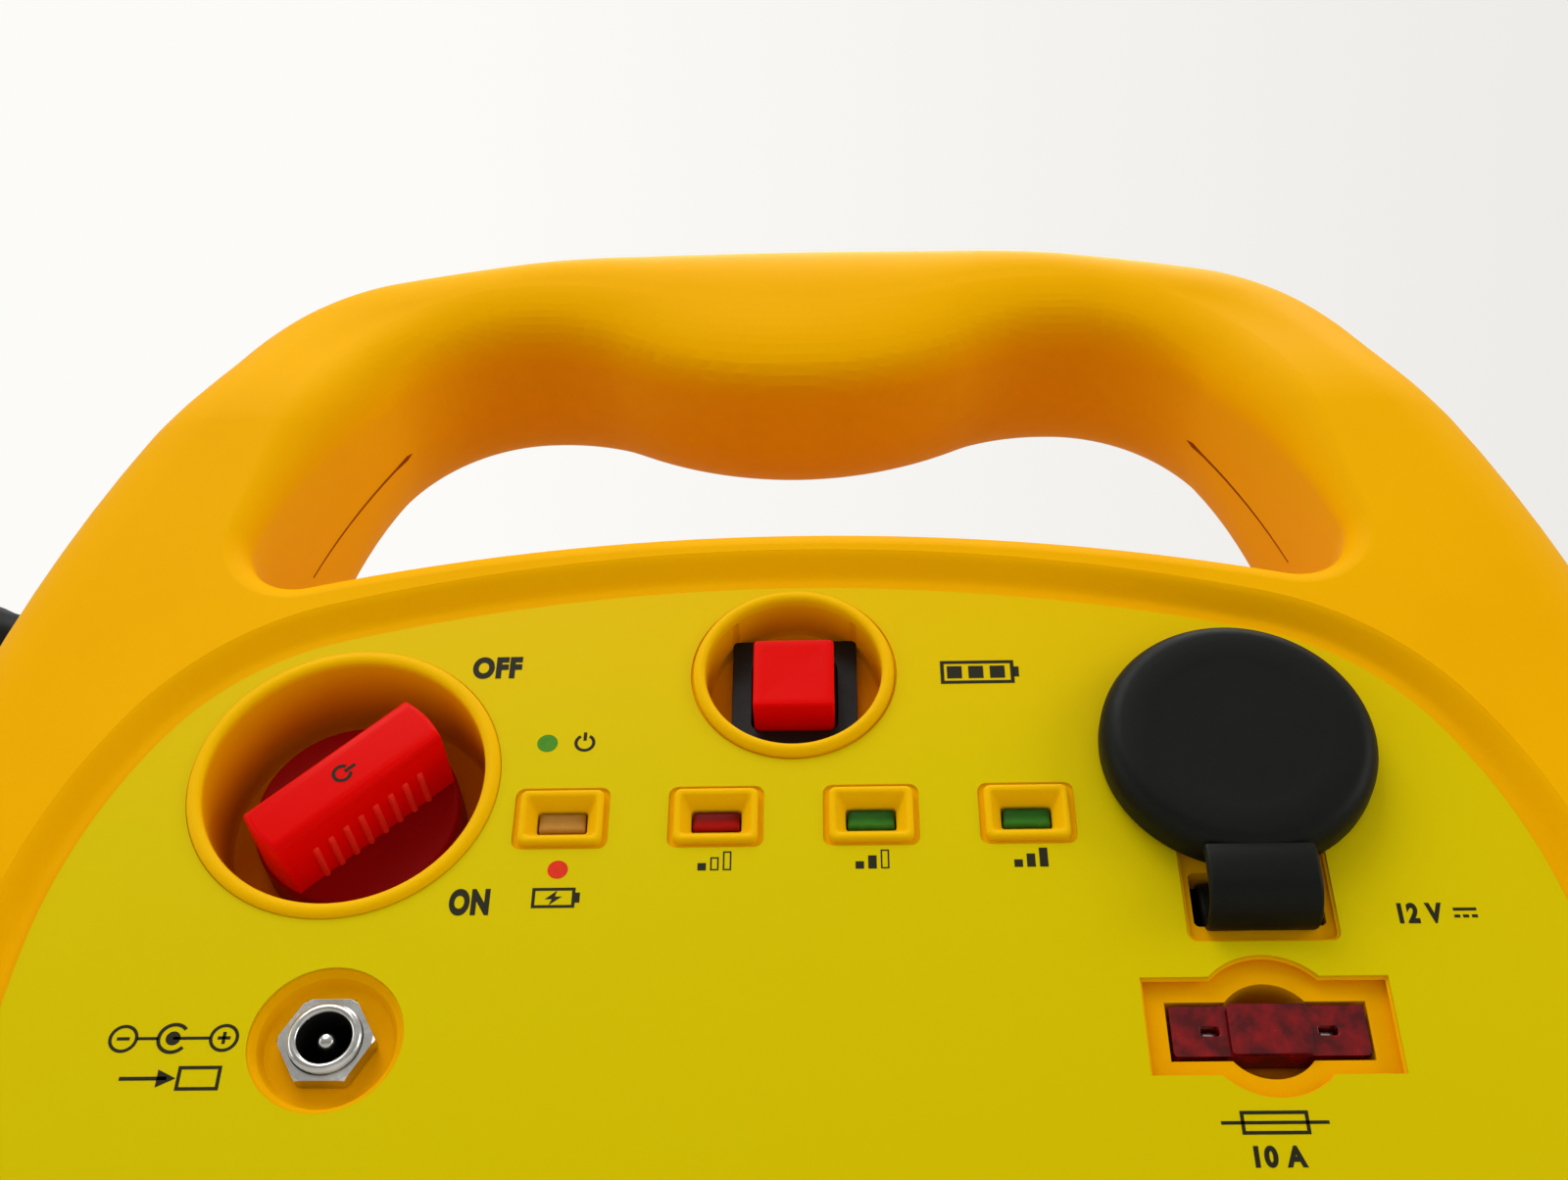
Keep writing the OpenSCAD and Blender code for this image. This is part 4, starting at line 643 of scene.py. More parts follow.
def raw(build):
    # a closed solid as a bare object, for carving
    mesh = bpy.data.meshes.new("carving")
    mesh.from_pydata([tuple(c * mm for c in p) for p in build.points], [], build.faces)
    work = bmesh.new()
    work.from_mesh(mesh)
    bmesh.ops.remove_doubles(work, verts=work.verts, dist=meshing["joinRaw"] * mm)
    bmesh.ops.recalc_face_normals(work, faces=work.faces)
    work.to_mesh(mesh)
    work.free()
    piece = bpy.data.objects.new("carving", mesh)
    scene.collection.objects.link(piece)
    return piece


def evaluated(piece):
    bpy.context.view_layer.update()
    return bpy.data.meshes.new_from_object(piece.evaluated_get(bpy.context.evaluated_depsgraph_get()))


def carve(base, steps):
    # steps are (joined or not, tool) pairs; a tool is a Build or an object made by carve
    piece = raw(base) if isinstance(base, Build) else base
    tools = [tool if isinstance(tool, bpy.types.Object) else raw(tool) for joined, tool in steps]
    for (joined, _), tool in zip(steps, tools):
        cut = piece.modifiers.new("carve", "BOOLEAN")
        cut.operation, cut.solver, cut.object = "UNION" if joined else "DIFFERENCE", "EXACT", tool
    mesh = evaluated(piece)
    piece.modifiers.clear()
    old, piece.data = piece.data, mesh
    bpy.data.meshes.remove(old)
    for tool in tools:
        spent = tool.data
        bpy.data.objects.remove(tool)
        bpy.data.meshes.remove(spent)
    return piece


def dress(piece, name, finish, body="case", bevel=None, smooth=32, segments=2):
    # a carved object becomes a finished piece
    piece.name = piece.data.name = name
    mesh = piece.data
    mesh.materials.clear()
    mesh.materials.append(finish.block)
    work = bmesh.new()
    work.from_mesh(mesh)
    bmesh.ops.dissolve_degenerate(work, edges=work.edges, dist=1e-6)
    bmesh.ops.remove_doubles(work, verts=work.verts, dist=meshing["joinCarved"] * mm)
    work.to_mesh(mesh)
    work.free()
    mesh.shade_smooth()
    mesh.set_sharp_from_angle(angle=math.radians(smooth))
    if bevel:
        cut = piece.modifiers.new("bevel", "BEVEL")
        cut.width, cut.segments = bevel * mm, segments
        cut.limit_method, cut.angle_limit = "ANGLE", math.radians(smooth)
    even = piece.modifiers.new("evenNormals", "WEIGHTED_NORMAL")
    even.keep_sharp = not bevel
    if body:
        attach(piece, body)
    return piece


def prism(line, d0, d1):
    # a flat outline as a solid between two depths behind the label
    made = Build()
    made.rows([[(x, pack["label"] + d, z) for x, z in line] for d in (d0, d1)], True, (True, True))
    return made


def rod(place, profile, turns=96):
    # a lathe round a panel place from (radius, depth) points, closed at both ends
    made = Build()
    made.lathe(profile, place, turns, (True, True))
    return made


def roundedBox(w, h, r, steps=4):
    line = []
    across, up = w / 2 - r, h / 2 - r
    for cx, cz, a in ((across, up, 0), (across, -up, 90), (-across, -up, 180), (-across, up, 270)):
        turn = [a + 90 * i / steps for i in range(steps + 1)]
        line += [(cx + r * sin(t), cz + r * cos(t)) for t in turn]
    return line


def panelBlock(x, up, line, rings):
    # stacked copies of an outline; in rings (grow, depth) its corners move out by grow
    made, place = Build(), onPanel(x, up)
    grown = [[place(a + math.copysign(g, a), b + math.copysign(g, b), d) for a, b in line] for g, d in rings]
    made.rows(grown, True, (True, True))
    return made


panel = {
    "labelUp": 3.2, "labelHigh": 103, "labelCorner": 14,
    "labelArcs": [(205, 15, 6), (32, 57, 6), (60, 84, 5), (150, 90, 2)],
    "knob": (-49.9, -22.8), "well": 15.7, "button": (0, -9.15), "buttonWell": 10.15,
    "lampUp": -28.2, "lampPitch": 16.87, "lampBox": (9.2, 6.7, 0.8), "socket": (48.6, -21),
    "slot": (48.6, -38), "slotHole": (48.6, -38.5), "jack": (-47.3, -53.8), "jackWell": 7.05,
    "fuse": (47.8, -53.2),
}


def labelLine():
    side = chain([(0, pack["datum"] + panel["labelUp"], 0)], panel["labelArcs"])
    low = pack["datum"] + panel["labelUp"] - panel["labelHigh"]
    r = panel["labelCorner"]
    return both(side + arc((side[-1][0], low + r), r, 90, 180, 5 * fineness, 0))


labelEdge = labelLine()
lampX = [i * panel["lampPitch"] for i in (-1.5, -0.5, 0.5, 1.5)]


def fuseShape(w, h, r, turns=48):
    # a bar across a finger circle
    top = math.degrees(math.asin(h / 2 / r))
    sweep = [(r * cos(a), r * sin(a)) for a in np.linspace(top, 180 - top, turns)]
    half = [(w / 2, -h / 2), (w / 2, h / 2)] + sweep
    return half + [(-x, -z) for x, z in half]


shell = {  # turns of a rounding; (depth, how far out) down the recess; (radius, depth) of each well
    "steps": (90, 85, 79, 73, 66, 59, 52, 44, 36, 27, 18, 9, 0), "wallSteps": (90, 60, 30, 0), "lead": 0.02,
    "recess": [(-2, 4.7), (0.03, 4.45), (0.07, 4.25), (0.25, 3.9), (0.5, 3.55), (0.8, 3.2), (1.1, 2.85),
               (1.45, 2.45), (1.75, 2.1), (1.98, 1.75), (2.08, 1.45), (2.1, 1.1)],
    "knobWell": [(15.7, -3), (15.7, 11.6), (15.3, 12.5), (14.4, 13), (4.5, 13)],
    "buttonWell": [(10.15, -3), (10.15, 5.2), (9.8, 5.9), (9, 6.2), (3, 6.2)],
    "socketWell": [(13.8, -1), (13.8, 1.9), (11.6, 1.9), (11.6, 6)],
    "jackWell": [(8.35, -1), (7.55, 0.62), (7.15, 0.9), (6.95, 1.4), (6.6, 1.9), (6, 2.05), (3, 2.05)],
    "fuseWell": [(0.35, -1), (0.35, 0.3), (0, 0.55), (-0.5, 1.2), (-0.6, 1.5)],
    "seamY": -36.7, "seamProud": 0.03, "seamDeep": -0.1, "seamFrom": (53.5, 19),
}


def through(steps, grow, before, behind, lead=0.0):
    # the handle's opening as a solid that reaches past both faces
    made, y = Build(), pack["front"] - lead
    made.rows([holeRing(pack["front"] - before, 1, 90, grow)] + [holeRing(y, 1, t, grow) for t in steps]
              + [holeRing(pack["grip"], -1, t, grow) for t in steps[::-1]]
              + [holeRing(pack["grip"] + behind, -1, 90, grow)], True, (True, True))
    return made


def frontShell():
    steps, wall, thin = shell["steps"], case["wall"], shell["wallSteps"]
    outside = Build()
    outside.rows([frontRing(pack["front"], t) for t in steps] + [flatRing(outer, pack["part"], 0)],
                 True, (True, True))
    # the opening's rounding starts a touch ahead of the face, so that the face cuts it cleanly
    hole = through(steps, 0, 3, 1, shell["lead"])
    hollow = Build()
    hollow.rows([frontRing(pack["label"] + wall, t, wall) for t in thin]
                + [flatRing(outer, pack["part"] + 1, wall)], True, (True, True))
    inside = carve(hollow, [(False, through(thin, wall, 2, 2))])
    # the recess: a lip, a slope that eases in and out, and the plate under the label
    recess = Build()
    recess.rows([flatRing(labelEdge, pack["front"] + d, -e) for d, e in shell["recess"]], True, (True, True))
    knobAt, buttonAt, socketAt, jackAt = [onPanel(*panel[k]) for k in ("knob", "button", "socket", "jack")]
    cups = [rod(at, [(r, 0.3), (r, deep)]) for at, r, deep in (
        (knobAt, panel["well"] + 2, 15), (buttonAt, panel["buttonWell"] + 2, 9), (socketAt, 15.5, 4.5),
        (jackAt, panel["jackWell"] + 2, 4.4))]
    cups.append(panelBlock(*panel["fuse"], roundedBox(26, 11.5, 1), [(0, 0.3), (0, 7.5)]))
    cuts = [
        rod(knobAt, shell["knobWell"]),
        rod(buttonAt, shell["buttonWell"]),
        panelBlock(*panel["button"], roundedBox(14.6, 15.6, 0.6), [(0, 0), (0, 12)]),
        rod(socketAt, shell["socketWell"]),
        panelBlock(*panel["slot"], roundedBox(15.1, 11.3, 0.8), [(0, -1), (0, 1)]),
        panelBlock(*panel["slotHole"], roundedBox(13.7, 6.4, 0.6), [(0, -1), (0, 8)]),
        rod(jackAt, shell["jackWell"]),
        rod(jackAt, [(3.85, 1), (3.85, 6)]),
        panelBlock(*panel["fuse"], fuseShape(24.6, 10.1, 7.45), shell["fuseWell"]),
        panelBlock(*panel["fuse"], fuseShape(20.3, 6.4, 5.15), [(0, 1), (0, 6)]),
    ]
    for x in lampX:
        cuts.append(panelBlock(x, panel["lampUp"], roundedBox(*panel["lampBox"]), [(0, -1), (0, 4.5)]))
    carved = [(False, hole), (False, recess), (False, inside)] + [(True, cup) for cup in cups]
    piece = carve(outside, carved + [(False, cut) for cut in cuts])
    setBack(piece)
    return dress(piece, "frontShell", finish["casePlastic"], bevel=0.28)


def jambSeams():
    # a parting line down each side of the handle's opening, widest at its top, drawn as a thin dark strip:
    # painted shade of its groove
    out, up = shell["seamFrom"]
    side = [p for p in openingHead if p[0] > out and p[1] > pack["datum"] + up]
    made, y, proud, deep = Build(), shell["seamY"], shell["seamProud"], shell["seamDeep"]
    for s in (-1, 1):
        rings = []
        for i, (x, z, turn) in enumerate(side):
            half = 0.42 if i == 1 else 0.04 if i == 0 else 0.24 - 0.12 * i / len(side)
            rings.append([(s * (x - e * sin(turn)), y + w, z - e * cos(turn))
                          for w, e in ((-half, proud), (half, proud), (half, deep), (-half, deep))])
        made.rows(rings, True, (True, True))
    made.make("jambSeams", finish["seamShade"], smooth=30)


frontPiece = frontShell()
jambSeams()
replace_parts(frontPiece, "front_casing")
print("front shell", len(frontPiece.data.polygons))


rear = {
    "edgeTurns": (0, 12, 25, 38, 50, 61, 71, 80, 90), "backTurns": (12, 24, 36, 48, 60, 72, 82, 90),
    "holeTurns": (90, 80, 68, 56, 43, 30, 15, 0), "slopeStart": 0.5, "slopeSteps": 8,
    "screws": ((36, pack["datum"] + 60.4), (87.9, pack["datum"] - 62), (87.9, 24)),
    "screwWell": [(1.8, -37), (1.8, -28.3), (3.3, -28), (3.3, 56.5), (3.9, 57)],
    "gate": [(5.6, -8), (5.6, 6)],
}


def exitPlace(s):
    # across, forward and out of the side where a cable leaves it; s is -1 on the left and 1 on the right
    out, forward = Vector((s * exitDir.x, 0, exitDir.z)), Vector((0, 1, 0))
    across, centre = out.cross(forward), Vector((s * exitPoint.x, exitPoint.y, exitPoint.z))
    return lambda a, b, d: tuple(centre + a * across + b * forward + d * out)


def screwPlace(x, z):
    return lambda a, b, y: (x + a, y, z + b)


def rearBody(t, lap):
    # the closed form at t inside the shell's skin
    made, r, drop = Build(), case["backR"], case["backDrop"]
    grip, flat, steps = pack["grip"] - t, pack["back"] - case["backR"], rear["slopeSteps"]
    start = grip + rear["slopeStart"]
    rings = [flatRing(outer, pack["part"] - lap, t)] + [backRing(grip, a, t) for a in rear["edgeTurns"]]
    for k in range(steps + 1):
        top = tankTop - drop * sin(90 * k / steps) ** 2
        rings.append(flatRing(tank(top), start + (flat - start) * k / steps, t))
    rings += [flatRing(tank(tankTop - drop), flat + (r - t) * sin(a), t + (r - t) * (1 - cos(a)))
              for a in rear["backTurns"]]
    made.rows(rings, True, (True, True))
    return made


def rearShell():
    turns, wall = rear["holeTurns"], case["wall"]
    inside = carve(rearBody(wall, 1), [(False, through(turns, wall, 2, 2))])
    wells = []
    for s in (-1, 1):
        for x, z in rear["screws"]:
            well = Build()
            well.lathe(rear["screwWell"], screwPlace(s * x, z), 32, (True, True))
            wells.append(well)
        gate = Build()
        gate.lathe(rear["gate"], exitPlace(s), 40, (True, True))
        wells.append(gate)
    cuts = [inside, through(turns, 0, 1, 1)] + wells
    piece = carve(rearBody(0, 0), [(False, cut) for cut in cuts])
    return dress(piece, "rearShell", finish["backPlastic"], bevel=0.3)


rearPiece = rearShell()
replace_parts(rearPiece, "rear_casing")
print("rear shell", len(rearPiece.data.polygons))


labelHoles = {"knob": 17.45, "button": 11.8, "socket": 13.8, "jack": 7.95}  # radii


def panelLabel():
    whole = [(0, -1), (0, 2)]
    cuts = [rod(onPanel(*panel[name]), [(r, -1), (r, 2)]) for name, r in labelHoles.items()]
    cuts.append(panelBlock(*panel["fuse"], fuseShape(25.1, 10.6, 7.7), whole))
    cuts.append(panelBlock(*panel["slot"], roundedBox(15.7, 11.9, 1), whole))
    cuts += [panelBlock(x, panel["lampUp"], roundedBox(10.4, 7.7, 1.0), whole) for x in lampX]
    sheet = prism([(x, z) for x, z, a in labelEdge], 0.0, 0.3)
    return dress(carve(sheet, [(False, c) for c in cuts]), "panelLabel", finish["labelFilm"], bevel=0.06)


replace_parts(panelLabel(), "panel_label")


inkDepth = (-0.03, 0.01)  # from its face to just under the label's


class Ink(Build):
    # flat print on the label
    def flat(self, x, up, line):
        place = onPanel(x, up)
        self.rows([[place(a, b, d) for a, b in line] for d in inkDepth], True, (True, True))

    def disc(self, x, up, r):
        self.flat(x, up, [(r * cos(a), r * sin(a)) for a in range(0, 360, 9)])

    def arc(self, x, up, r, w, a, b, turns=40):
        # a band along part of a circle, angles from the right
        turn = [a + (b - a) * i / turns for i in range(turns + 1)]
        if b - a == 360:
            place, (face, foot) = onPanel(x, up), inkDepth
            rings = self.rows([[place(size * cos(t), size * sin(t), d) for t in turn[:-1]] for size, d in (
                (r + w / 2, foot), (r + w / 2, face), (r - w / 2, face), (r - w / 2, foot))])
            self.strip(rings[-1], rings[0])
            return
        self.flat(x, up, [((r + w / 2) * cos(t), (r + w / 2) * sin(t)) for t in turn]
                  + [((r - w / 2) * cos(t), (r - w / 2) * sin(t)) for t in turn[::-1]])

    def line(self, x0, up0, x1, up1, w):
        run = Vector((x1 - x0, up1 - up0)).normalized() * w / 2
        self.flat(0, 0, [(x0 + run.y, up0 - run.x), (x1 + run.y, up1 - run.x),
                         (x1 - run.y, up1 + run.x), (x0 - run.y, up0 + run.x)])

    def frame(self, x, up, w, h, t):
        for s in (-1, 1):
            self.line(x - w / 2, up + s * (h - t) / 2, x + w / 2, up + s * (h - t) / 2, t)
            self.line(x + s * (w - t) / 2, up - h / 2 + t, x + s * (w - t) / 2, up + h / 2 - t, t)


def word(name, body, x, up, wide, high, fat, finish):
    # plain bold lettering; x and up are its middle
    data = bpy.data.curves.new(name, "FONT")
    data.body, data.align_x, data.align_y = body, "CENTER", "CENTER"
    data.size, data.offset, data.extrude = 1.0, fat, 0.01
    data.resolution_u, data.space_character = 6, 1.12
    drawn = bpy.data.objects.new(name, data)
    scene.collection.objects.link(drawn)
    mesh = evaluated(drawn)
    bpy.data.objects.remove(drawn)
    points = np.array([v.co[:] for v in mesh.vertices])
    first, last = points.min(0), points.max(0)
    place = onPanel(x, up)
    for v in mesh.vertices:
        a = ((v.co.x - first[0]) / (last[0] - first[0]) - 0.5) * wide
        b = ((v.co.y - first[1]) / (last[1] - first[1]) - 0.5) * high
        v.co = Vector(place(a, b, inkDepth[0] if v.co.z > 0 else inkDepth[1])) * mm
    mesh.materials.clear()
    mesh.materials.append(finish.block)
    piece = bpy.data.objects.new(name, mesh)
    scene.collection.objects.link(piece)
    work = bmesh.new()
    work.from_mesh(mesh)
    bmesh.ops.remove_doubles(work, verts=work.verts, dist=1e-7)
    bmesh.ops.recalc_face_normals(work, faces=work.faces)
    work.to_mesh(mesh)
    work.free()
    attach(piece, "case")
    return piece


def panelPrint():
    black, green, red = Ink(), Ink(), Ink()
    # knob: on mark, off mark
    word("wordOff", "OFF", -34.25, -7.85, 5.7, 3.1, 0.06, finish["printBlack"])
    word("wordOn", "ON", -34.3, -38.4, 4.3, 3.2, 0.06, finish["printBlack"])
    # lamp legends: power on, charging, three levels
    green.disc(-27.6, -18.4, 1.15)
    black.arc(-23.4, -18.4, 1.0, 0.36, 120, 420)
    black.line(-23.4, -18.1, -23.4, -17.0, 0.36)
    red.disc(-25.2, -34.6, 1.1)
    black.frame(-25.4, -38.0, 4.6, 2.4, 0.34)
    black.line(-22.85, -38.6, -22.85, -37.4, 0.5)
    bolt = [(0.35, 0.85), (-0.9, -0.15), (-0.15, -0.15), (-0.45, -0.85), (0.9, 0.15), (0.15, 0.15)]
    black.flat(-25.4, -38.0, bolt)
    for i, x in enumerate(lampX[1:]):
        for k in range(3):
            left = x - 1.35 + k * 1.35
            tall = 0.9 + 0.7 * k
            if k <= i:
                bar = [(-0.45, -tall / 2), (0.45, -tall / 2), (0.45, tall / 2), (-0.45, tall / 2)]
                black.flat(left, -34.9 + tall / 2, bar)
            else:
                black.frame(left, -34.9 + tall / 2, 0.9, tall, 0.16)
    # battery over the level lamps
    black.frame(21.0, -9.4, 8.4, 3.2, 0.42)
    black.line(25.45, -10.1, 25.45, -8.7, 0.6)
    for k in range(3):
        black.flat(18.4 + 2.45 * k, -9.4, [(-0.85, -0.85), (0.85, -0.85), (0.85, 0.85), (-0.85, 0.85)])
    # 12 V direct current at the socket
    word("wordVolts", "12 V", 65.0, -40.9, 4.6, 2.4, 0.05, finish["printBlack"])
    black.line(68.4, -40.5, 70.8, -40.5, 0.34)
    for k in range(3):
        black.line(68.4 + 0.9 * k, -41.3, 69.0 + 0.9 * k, -41.3, 0.34)
    # charging input: polarity and an arrow into a socket
    for x, s in ((-67.9, 0), (-57.6, 1)):
        black.arc(x, -53.6, 1.35, 0.34, 0, 360)
        black.line(x - 0.65, -53.6, x + 0.65, -53.6, 0.34)
        if s:
            black.line(x, -54.25, x, -52.95, 0.34)
    black.disc(-62.8, -53.6, 0.75)
    black.arc(-62.8, -53.6, 1.5, 0.38, 40, 320)
    black.line(-66.5, -53.6, -64.3, -53.6, 0.32)
    black.line(-62.8, -53.6, -59.0, -53.6, 0.32)
    black.frame(-59.4, -57.9, 4.4, 2.6, 0.36)
    black.line(-67.4, -57.9, -62.6, -57.9, 0.4)
    black.flat(-63.0, -57.9, [(1.3, 0), (-0.6, 0.95), (-0.6, -0.95)])
    # fuse
    black.frame(46.6, -63.4, 6.6, 2.4, 0.36)
    black.line(41.4, -63.4, 51.8, -63.4, 0.34)
    word("wordAmps", "10 A", 46.6, -66.8, 5.0, 2.2, 0.05, finish["printBlack"])
    black.make("blackPrint", finish["printBlack"], smooth=20)
    green.make("greenPrint", finish["printGreen"], smooth=20)
    red.make("redPrint", finish["printRed"], smooth=20)


panelPrint()
print("label and print")


rims = {  # (radius, depth) round each rim; (width, height, corner, depth) of a lamp's frame
    "knob": [(15.66, 0.45), (15.66, -0.1), (15.74, -0.32), (15.95, -0.5), (16.3, -0.6), (16.7, -0.6),
             (17.1, -0.46), (17.3, -0.24), (17.38, 0.02), (17.4, 0.45)],
    "button": [(10.1, 0.5), (10.1, -0.45), (10.2, -0.72), (10.42, -0.88), (10.75, -0.93), (11.1, -0.86),
               (11.36, -0.64), (11.5, -0.3), (11.55, 0.5)],
    "lamp": [(9.2, 6.7, 0.8, 4.4), (9.2, 6.7, 0.8, -0.25), (9.08, 6.58, 0.76, -0.45), (8.8, 6.3, 0.7, -0.58),
             (8.4, 5.9, 0.62, -0.62), (8.0, 5.3, 0.55, -0.6), (7.7, 5.0, 0.5, -0.5), (7.45, 4.75, 0.45, -0.3),
             (5.75, 3.05, 0.35, 0.95), (5.5, 2.8, 0.3, 1.1), (5.45, 2.75, 0.28, 1.4),
             (5.45, 2.75, 0.28, 4.4)],
}


def boxRings(place, sizes, steps):
    # rounded boxes one behind the other, from (width, height, corner, depth)
    return [[place(a, b, d) for a, b in roundedBox(w, h, r, steps)] for w, h, r, d in sizes]


def panelRims():
    # the knob well's rolled rim, the test button's bead, and the lamps' raised and bevelled frames, in a
    # lighter copy of the case plastic as a painted highlight
    for name, key, turns in (("knobWellRim", "knob", 160), ("buttonBead", "button", 128)):
        rim = Build()
        rim.band(rims[key], onPanel(*panel[key]), turns)
        rim.make(name, finish["rimPlastic"], smooth=60)
    for i, x in enumerate(lampX):
        border = Build()
        made = border.rows(boxRings(onPanel(x, panel["lampUp"]), rims["lamp"], 5))
        border.strip(made[-1], made[0])
        border.make(f"lampFrame{i + 1}", finish["rimPlastic"], smooth=50)


panelRims()


lens = [(6.5, 3.8, 0.2, 9.9), (6.5, 3.8, 0.2, 3.4), (5.1, 2.4, 0.2, 3.3), (5.1, 2.4, 0.25, 1.25),
        (5.0, 2.3, 0.3, 1.05), (4.7, 2.0, 0.35, 0.88), (4.1, 1.5, 0.4, 0.78), (2.6, 0.7, 0.3, 0.72)]
lampKinds = {
    "charge_lens": "amberLens", "low_lens": "redLens", "medium_lens": "greenLens", "high_lens": "greenLens",
}


def lampLenses():
    for x, (node, kind) in zip(lampX, lampKinds.items()):
        body = Build()
        body.rows(boxRings(onPanel(x, panel["lampUp"]), lens, 4), True, (True, True))
        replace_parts(body.make(node.replace("_l", "L"), finish[kind], smooth=40), node)


lampLenses()
print("lamps")


knob = {
    "disc": [(11.3, 12.7), (11.6, 12.5), (11.75, 12.2), (11.75, 7.7), (11.68, 7.35), (11.5, 7.12),
             (11.2, 7.0)],
    "bore": 4.05, "turn": 43, "reach": 11.45,
    "bar": [(4.3, 0.0, 7.3), (4.3, 0.0, 7.0), (3.42, 0.0, -0.55), (3.36, 0.1, -0.85), (3.25, 0.28, -1.06),
            (3.05, 0.5, -1.17), (2.8, 0.8, -1.2)],  # half width, how far the ends draw in, depth
    "ribs": 8, "ribPitch": 2.0, "ribHalf": 0.42, "ribSunk": 0.12,
    "rib": [(7.05, 0.34), (6.4, 0.36), (3.2, 0.36), (2.6, 0.3), (2.2, 0.02)],  # depth, how far it stands out
    "markDepth": (-1.235, -1.19), "markRing": (1.15, 0.75), "markStroke": (0.35, 1.75, 0.2),
}


def turned(a, b):
    t = knob["turn"]
    return a * cos(t) - b * sin(t), a * sin(t) + b * cos(t)


def barOutline(place, w, grow, d):
    # a bar with ends that follow the disc's edge, drawn in by grow
    r, side = knob["reach"] - grow, w - grow
    top, line = math.degrees(math.asin(side / r)), []
    for s in (1, -1):
        line += [(s * r * cos(t), s * r * sin(t)) for t in np.linspace(-top, top, 13)]
    return [place(*turned(x, z), d) for x, z in line]


def knobRibs(place):
    ribs, (half, _, foot), (thin, _, face) = Build(), knob["bar"][1], knob["bar"][2]
    lean = (half - thin) / (foot - face)
    for s in (-1, 1):
        for i in range(knob["ribs"]):
            x, rows = (i - (knob["ribs"] - 1) / 2) * knob["ribPitch"], []
            for d, swell in knob["rib"]:
                skin, high = half - (foot - d) * lean - knob["ribSunk"], swell + knob["ribSunk"]
                section = [(x + knob["ribHalf"] * cos(a), s * (skin + high * max(0.0, sin(a))))
                           for a in range(0, 360, 30)]
                rows.append([place(*turned(across, up), d) for across, up in section])
            ribs.rows(rows, True, (True, True))
    # the ribs wear a paler red, a painted sheen
    ribs.make("knobRibs", finish["ribRed"], body="knob", smooth=60)


def knobMark(place):
    # a power sign on the bar's top
    mark, (outside, inside), (a, b, half) = Build(), knob["markRing"], knob["markStroke"]
    ring = [(outside * cos(t), outside * sin(t)) for t in np.linspace(30, 330, 40)]
    ring += [(inside * cos(t), inside * sin(t)) for t in np.linspace(330, 30, 40)]
    for line in (ring, [(a, -half), (b, -half), (b, half), (a, half)]):
        mark.rows([[place(*turned(x, z), d) for x, z in line] for d in knob["markDepth"]], True, (True, True))
    mark.make("knobMark", finish["printBlack"], body="knob", smooth=20)


def powerKnob():
    place = onPanel(*panel["knob"])
    bore = rod(place, [(knob["bore"], 8), (knob["bore"], 14)], 48)
    disc = carve(rod(place, knob["disc"], 128), [(False, bore)])
    # the disc's darker red is painted shade from its well
    disc = dress(disc, "knobDisc", finish["knobDisc"], body="knob", smooth=40)
    bar = Build()
    bar.rows([barOutline(place, *size) for size in knob["bar"]], True, (True, True))
    piece = bar.make("knobBar", finish["redPlastic"], body="knob")
    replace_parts(disc, "power_knob")
    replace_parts(piece, "power_knob")
    knobRibs(place)
    knobMark(place)


powerKnob()
print("knob")


button = {
    "cap": [(9.3, 9.3, 0.5, 8.0), (9.3, 9.3, 0.5, 0.16), (9.25, 9.25, 0.5, 0.02), (9.12, 9.12, 0.5, -0.1),
            (8.95, 8.95, 0.5, -0.17), (8.7, 8.7, 0.5, -0.2), (7.0, 7.0, 0.5, -0.17), (4.5, 4.5, 0.5, -0.12),
            (1.5, 1.5, 0.4, -0.1)],
    "body": (14, 15, 0.7), "bodyRings": [(-0.35, 4.5), (-0.1, 4.6), (0, 4.85), (0, 16)],
    "bore": (9.9, 9.9, 1.2), "boreRings": [(0, 3), (0, 9.6)],
    "flange": (19, 20, 1), "flangeRings": [(0, 8.25), (0, 10.2)],
}


def testButton():
    cap = Build()
    cap.rows(boxRings(onPanel(*panel["button"]), button["cap"], 6), True, (True, True))
    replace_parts(cap.make("testButtonCap", finish["redPlastic"], body="button", smooth=60), "test_button_cap")
    body, bore, flange = [panelBlock(*panel["button"], roundedBox(*button[k]), button[k + "Rings"])
                          for k in ("body", "bore", "flange")]
    piece = carve(body, [(True, flange), (False, bore)])
    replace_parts(dress(piece, "testSwitch", finish["blackPlastic"], bevel=0.15), "test_switch_body")


testButton()
print("test button")


lid = {
    "inside": [(0.001, 5.4), (9.1, 5.5), (9.5, 5.2), (9.6, 4.6), (9.6, -0.2), (12.6, -0.3), (14.2, -0.3),
               (14.75, -0.42), (14.95, -0.7), (15, -1.1), (15, -2.4)],
    "rim": (12.5, 2.5, -2.4, 2.55),
    "face": [(11.6, -4.99), (10.4, -5.03), (9.6, -4.98), (8.4, -4.93), (4, -4.9), (0.001, -4.89)],
}
strap = {
    "hinge": (-1.0, -38.9), "thick": 0.65, "half": 5.8, "corner": 0.45, "curl": 3.2, "bend": (2.4, -2.8),
    "start": [(3.7, -2.9), (2.9, -3.15), (2.0, -3.25), (1.0, -3.25)],
    "end": [(1.2, 3.2), (2.0, 3.3), (2.55, 3.9), (2.75, 5.0), (2.75, 6.6)],
}


def socketCap():
    cap, (middle, out, deep, high) = Build(), lid["rim"]
    rim = [(middle + out * cos(a), deep - high * sin(a)) for a in range(12, 91, 9)]
    cap.lathe(lid["inside"] + rim + lid["face"], onPanel(*panel["socket"]), 128, (True, True))
    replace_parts(cap.make("socketCap", finish["blackRubber"], body="cap", smooth=50), "socket_cap")


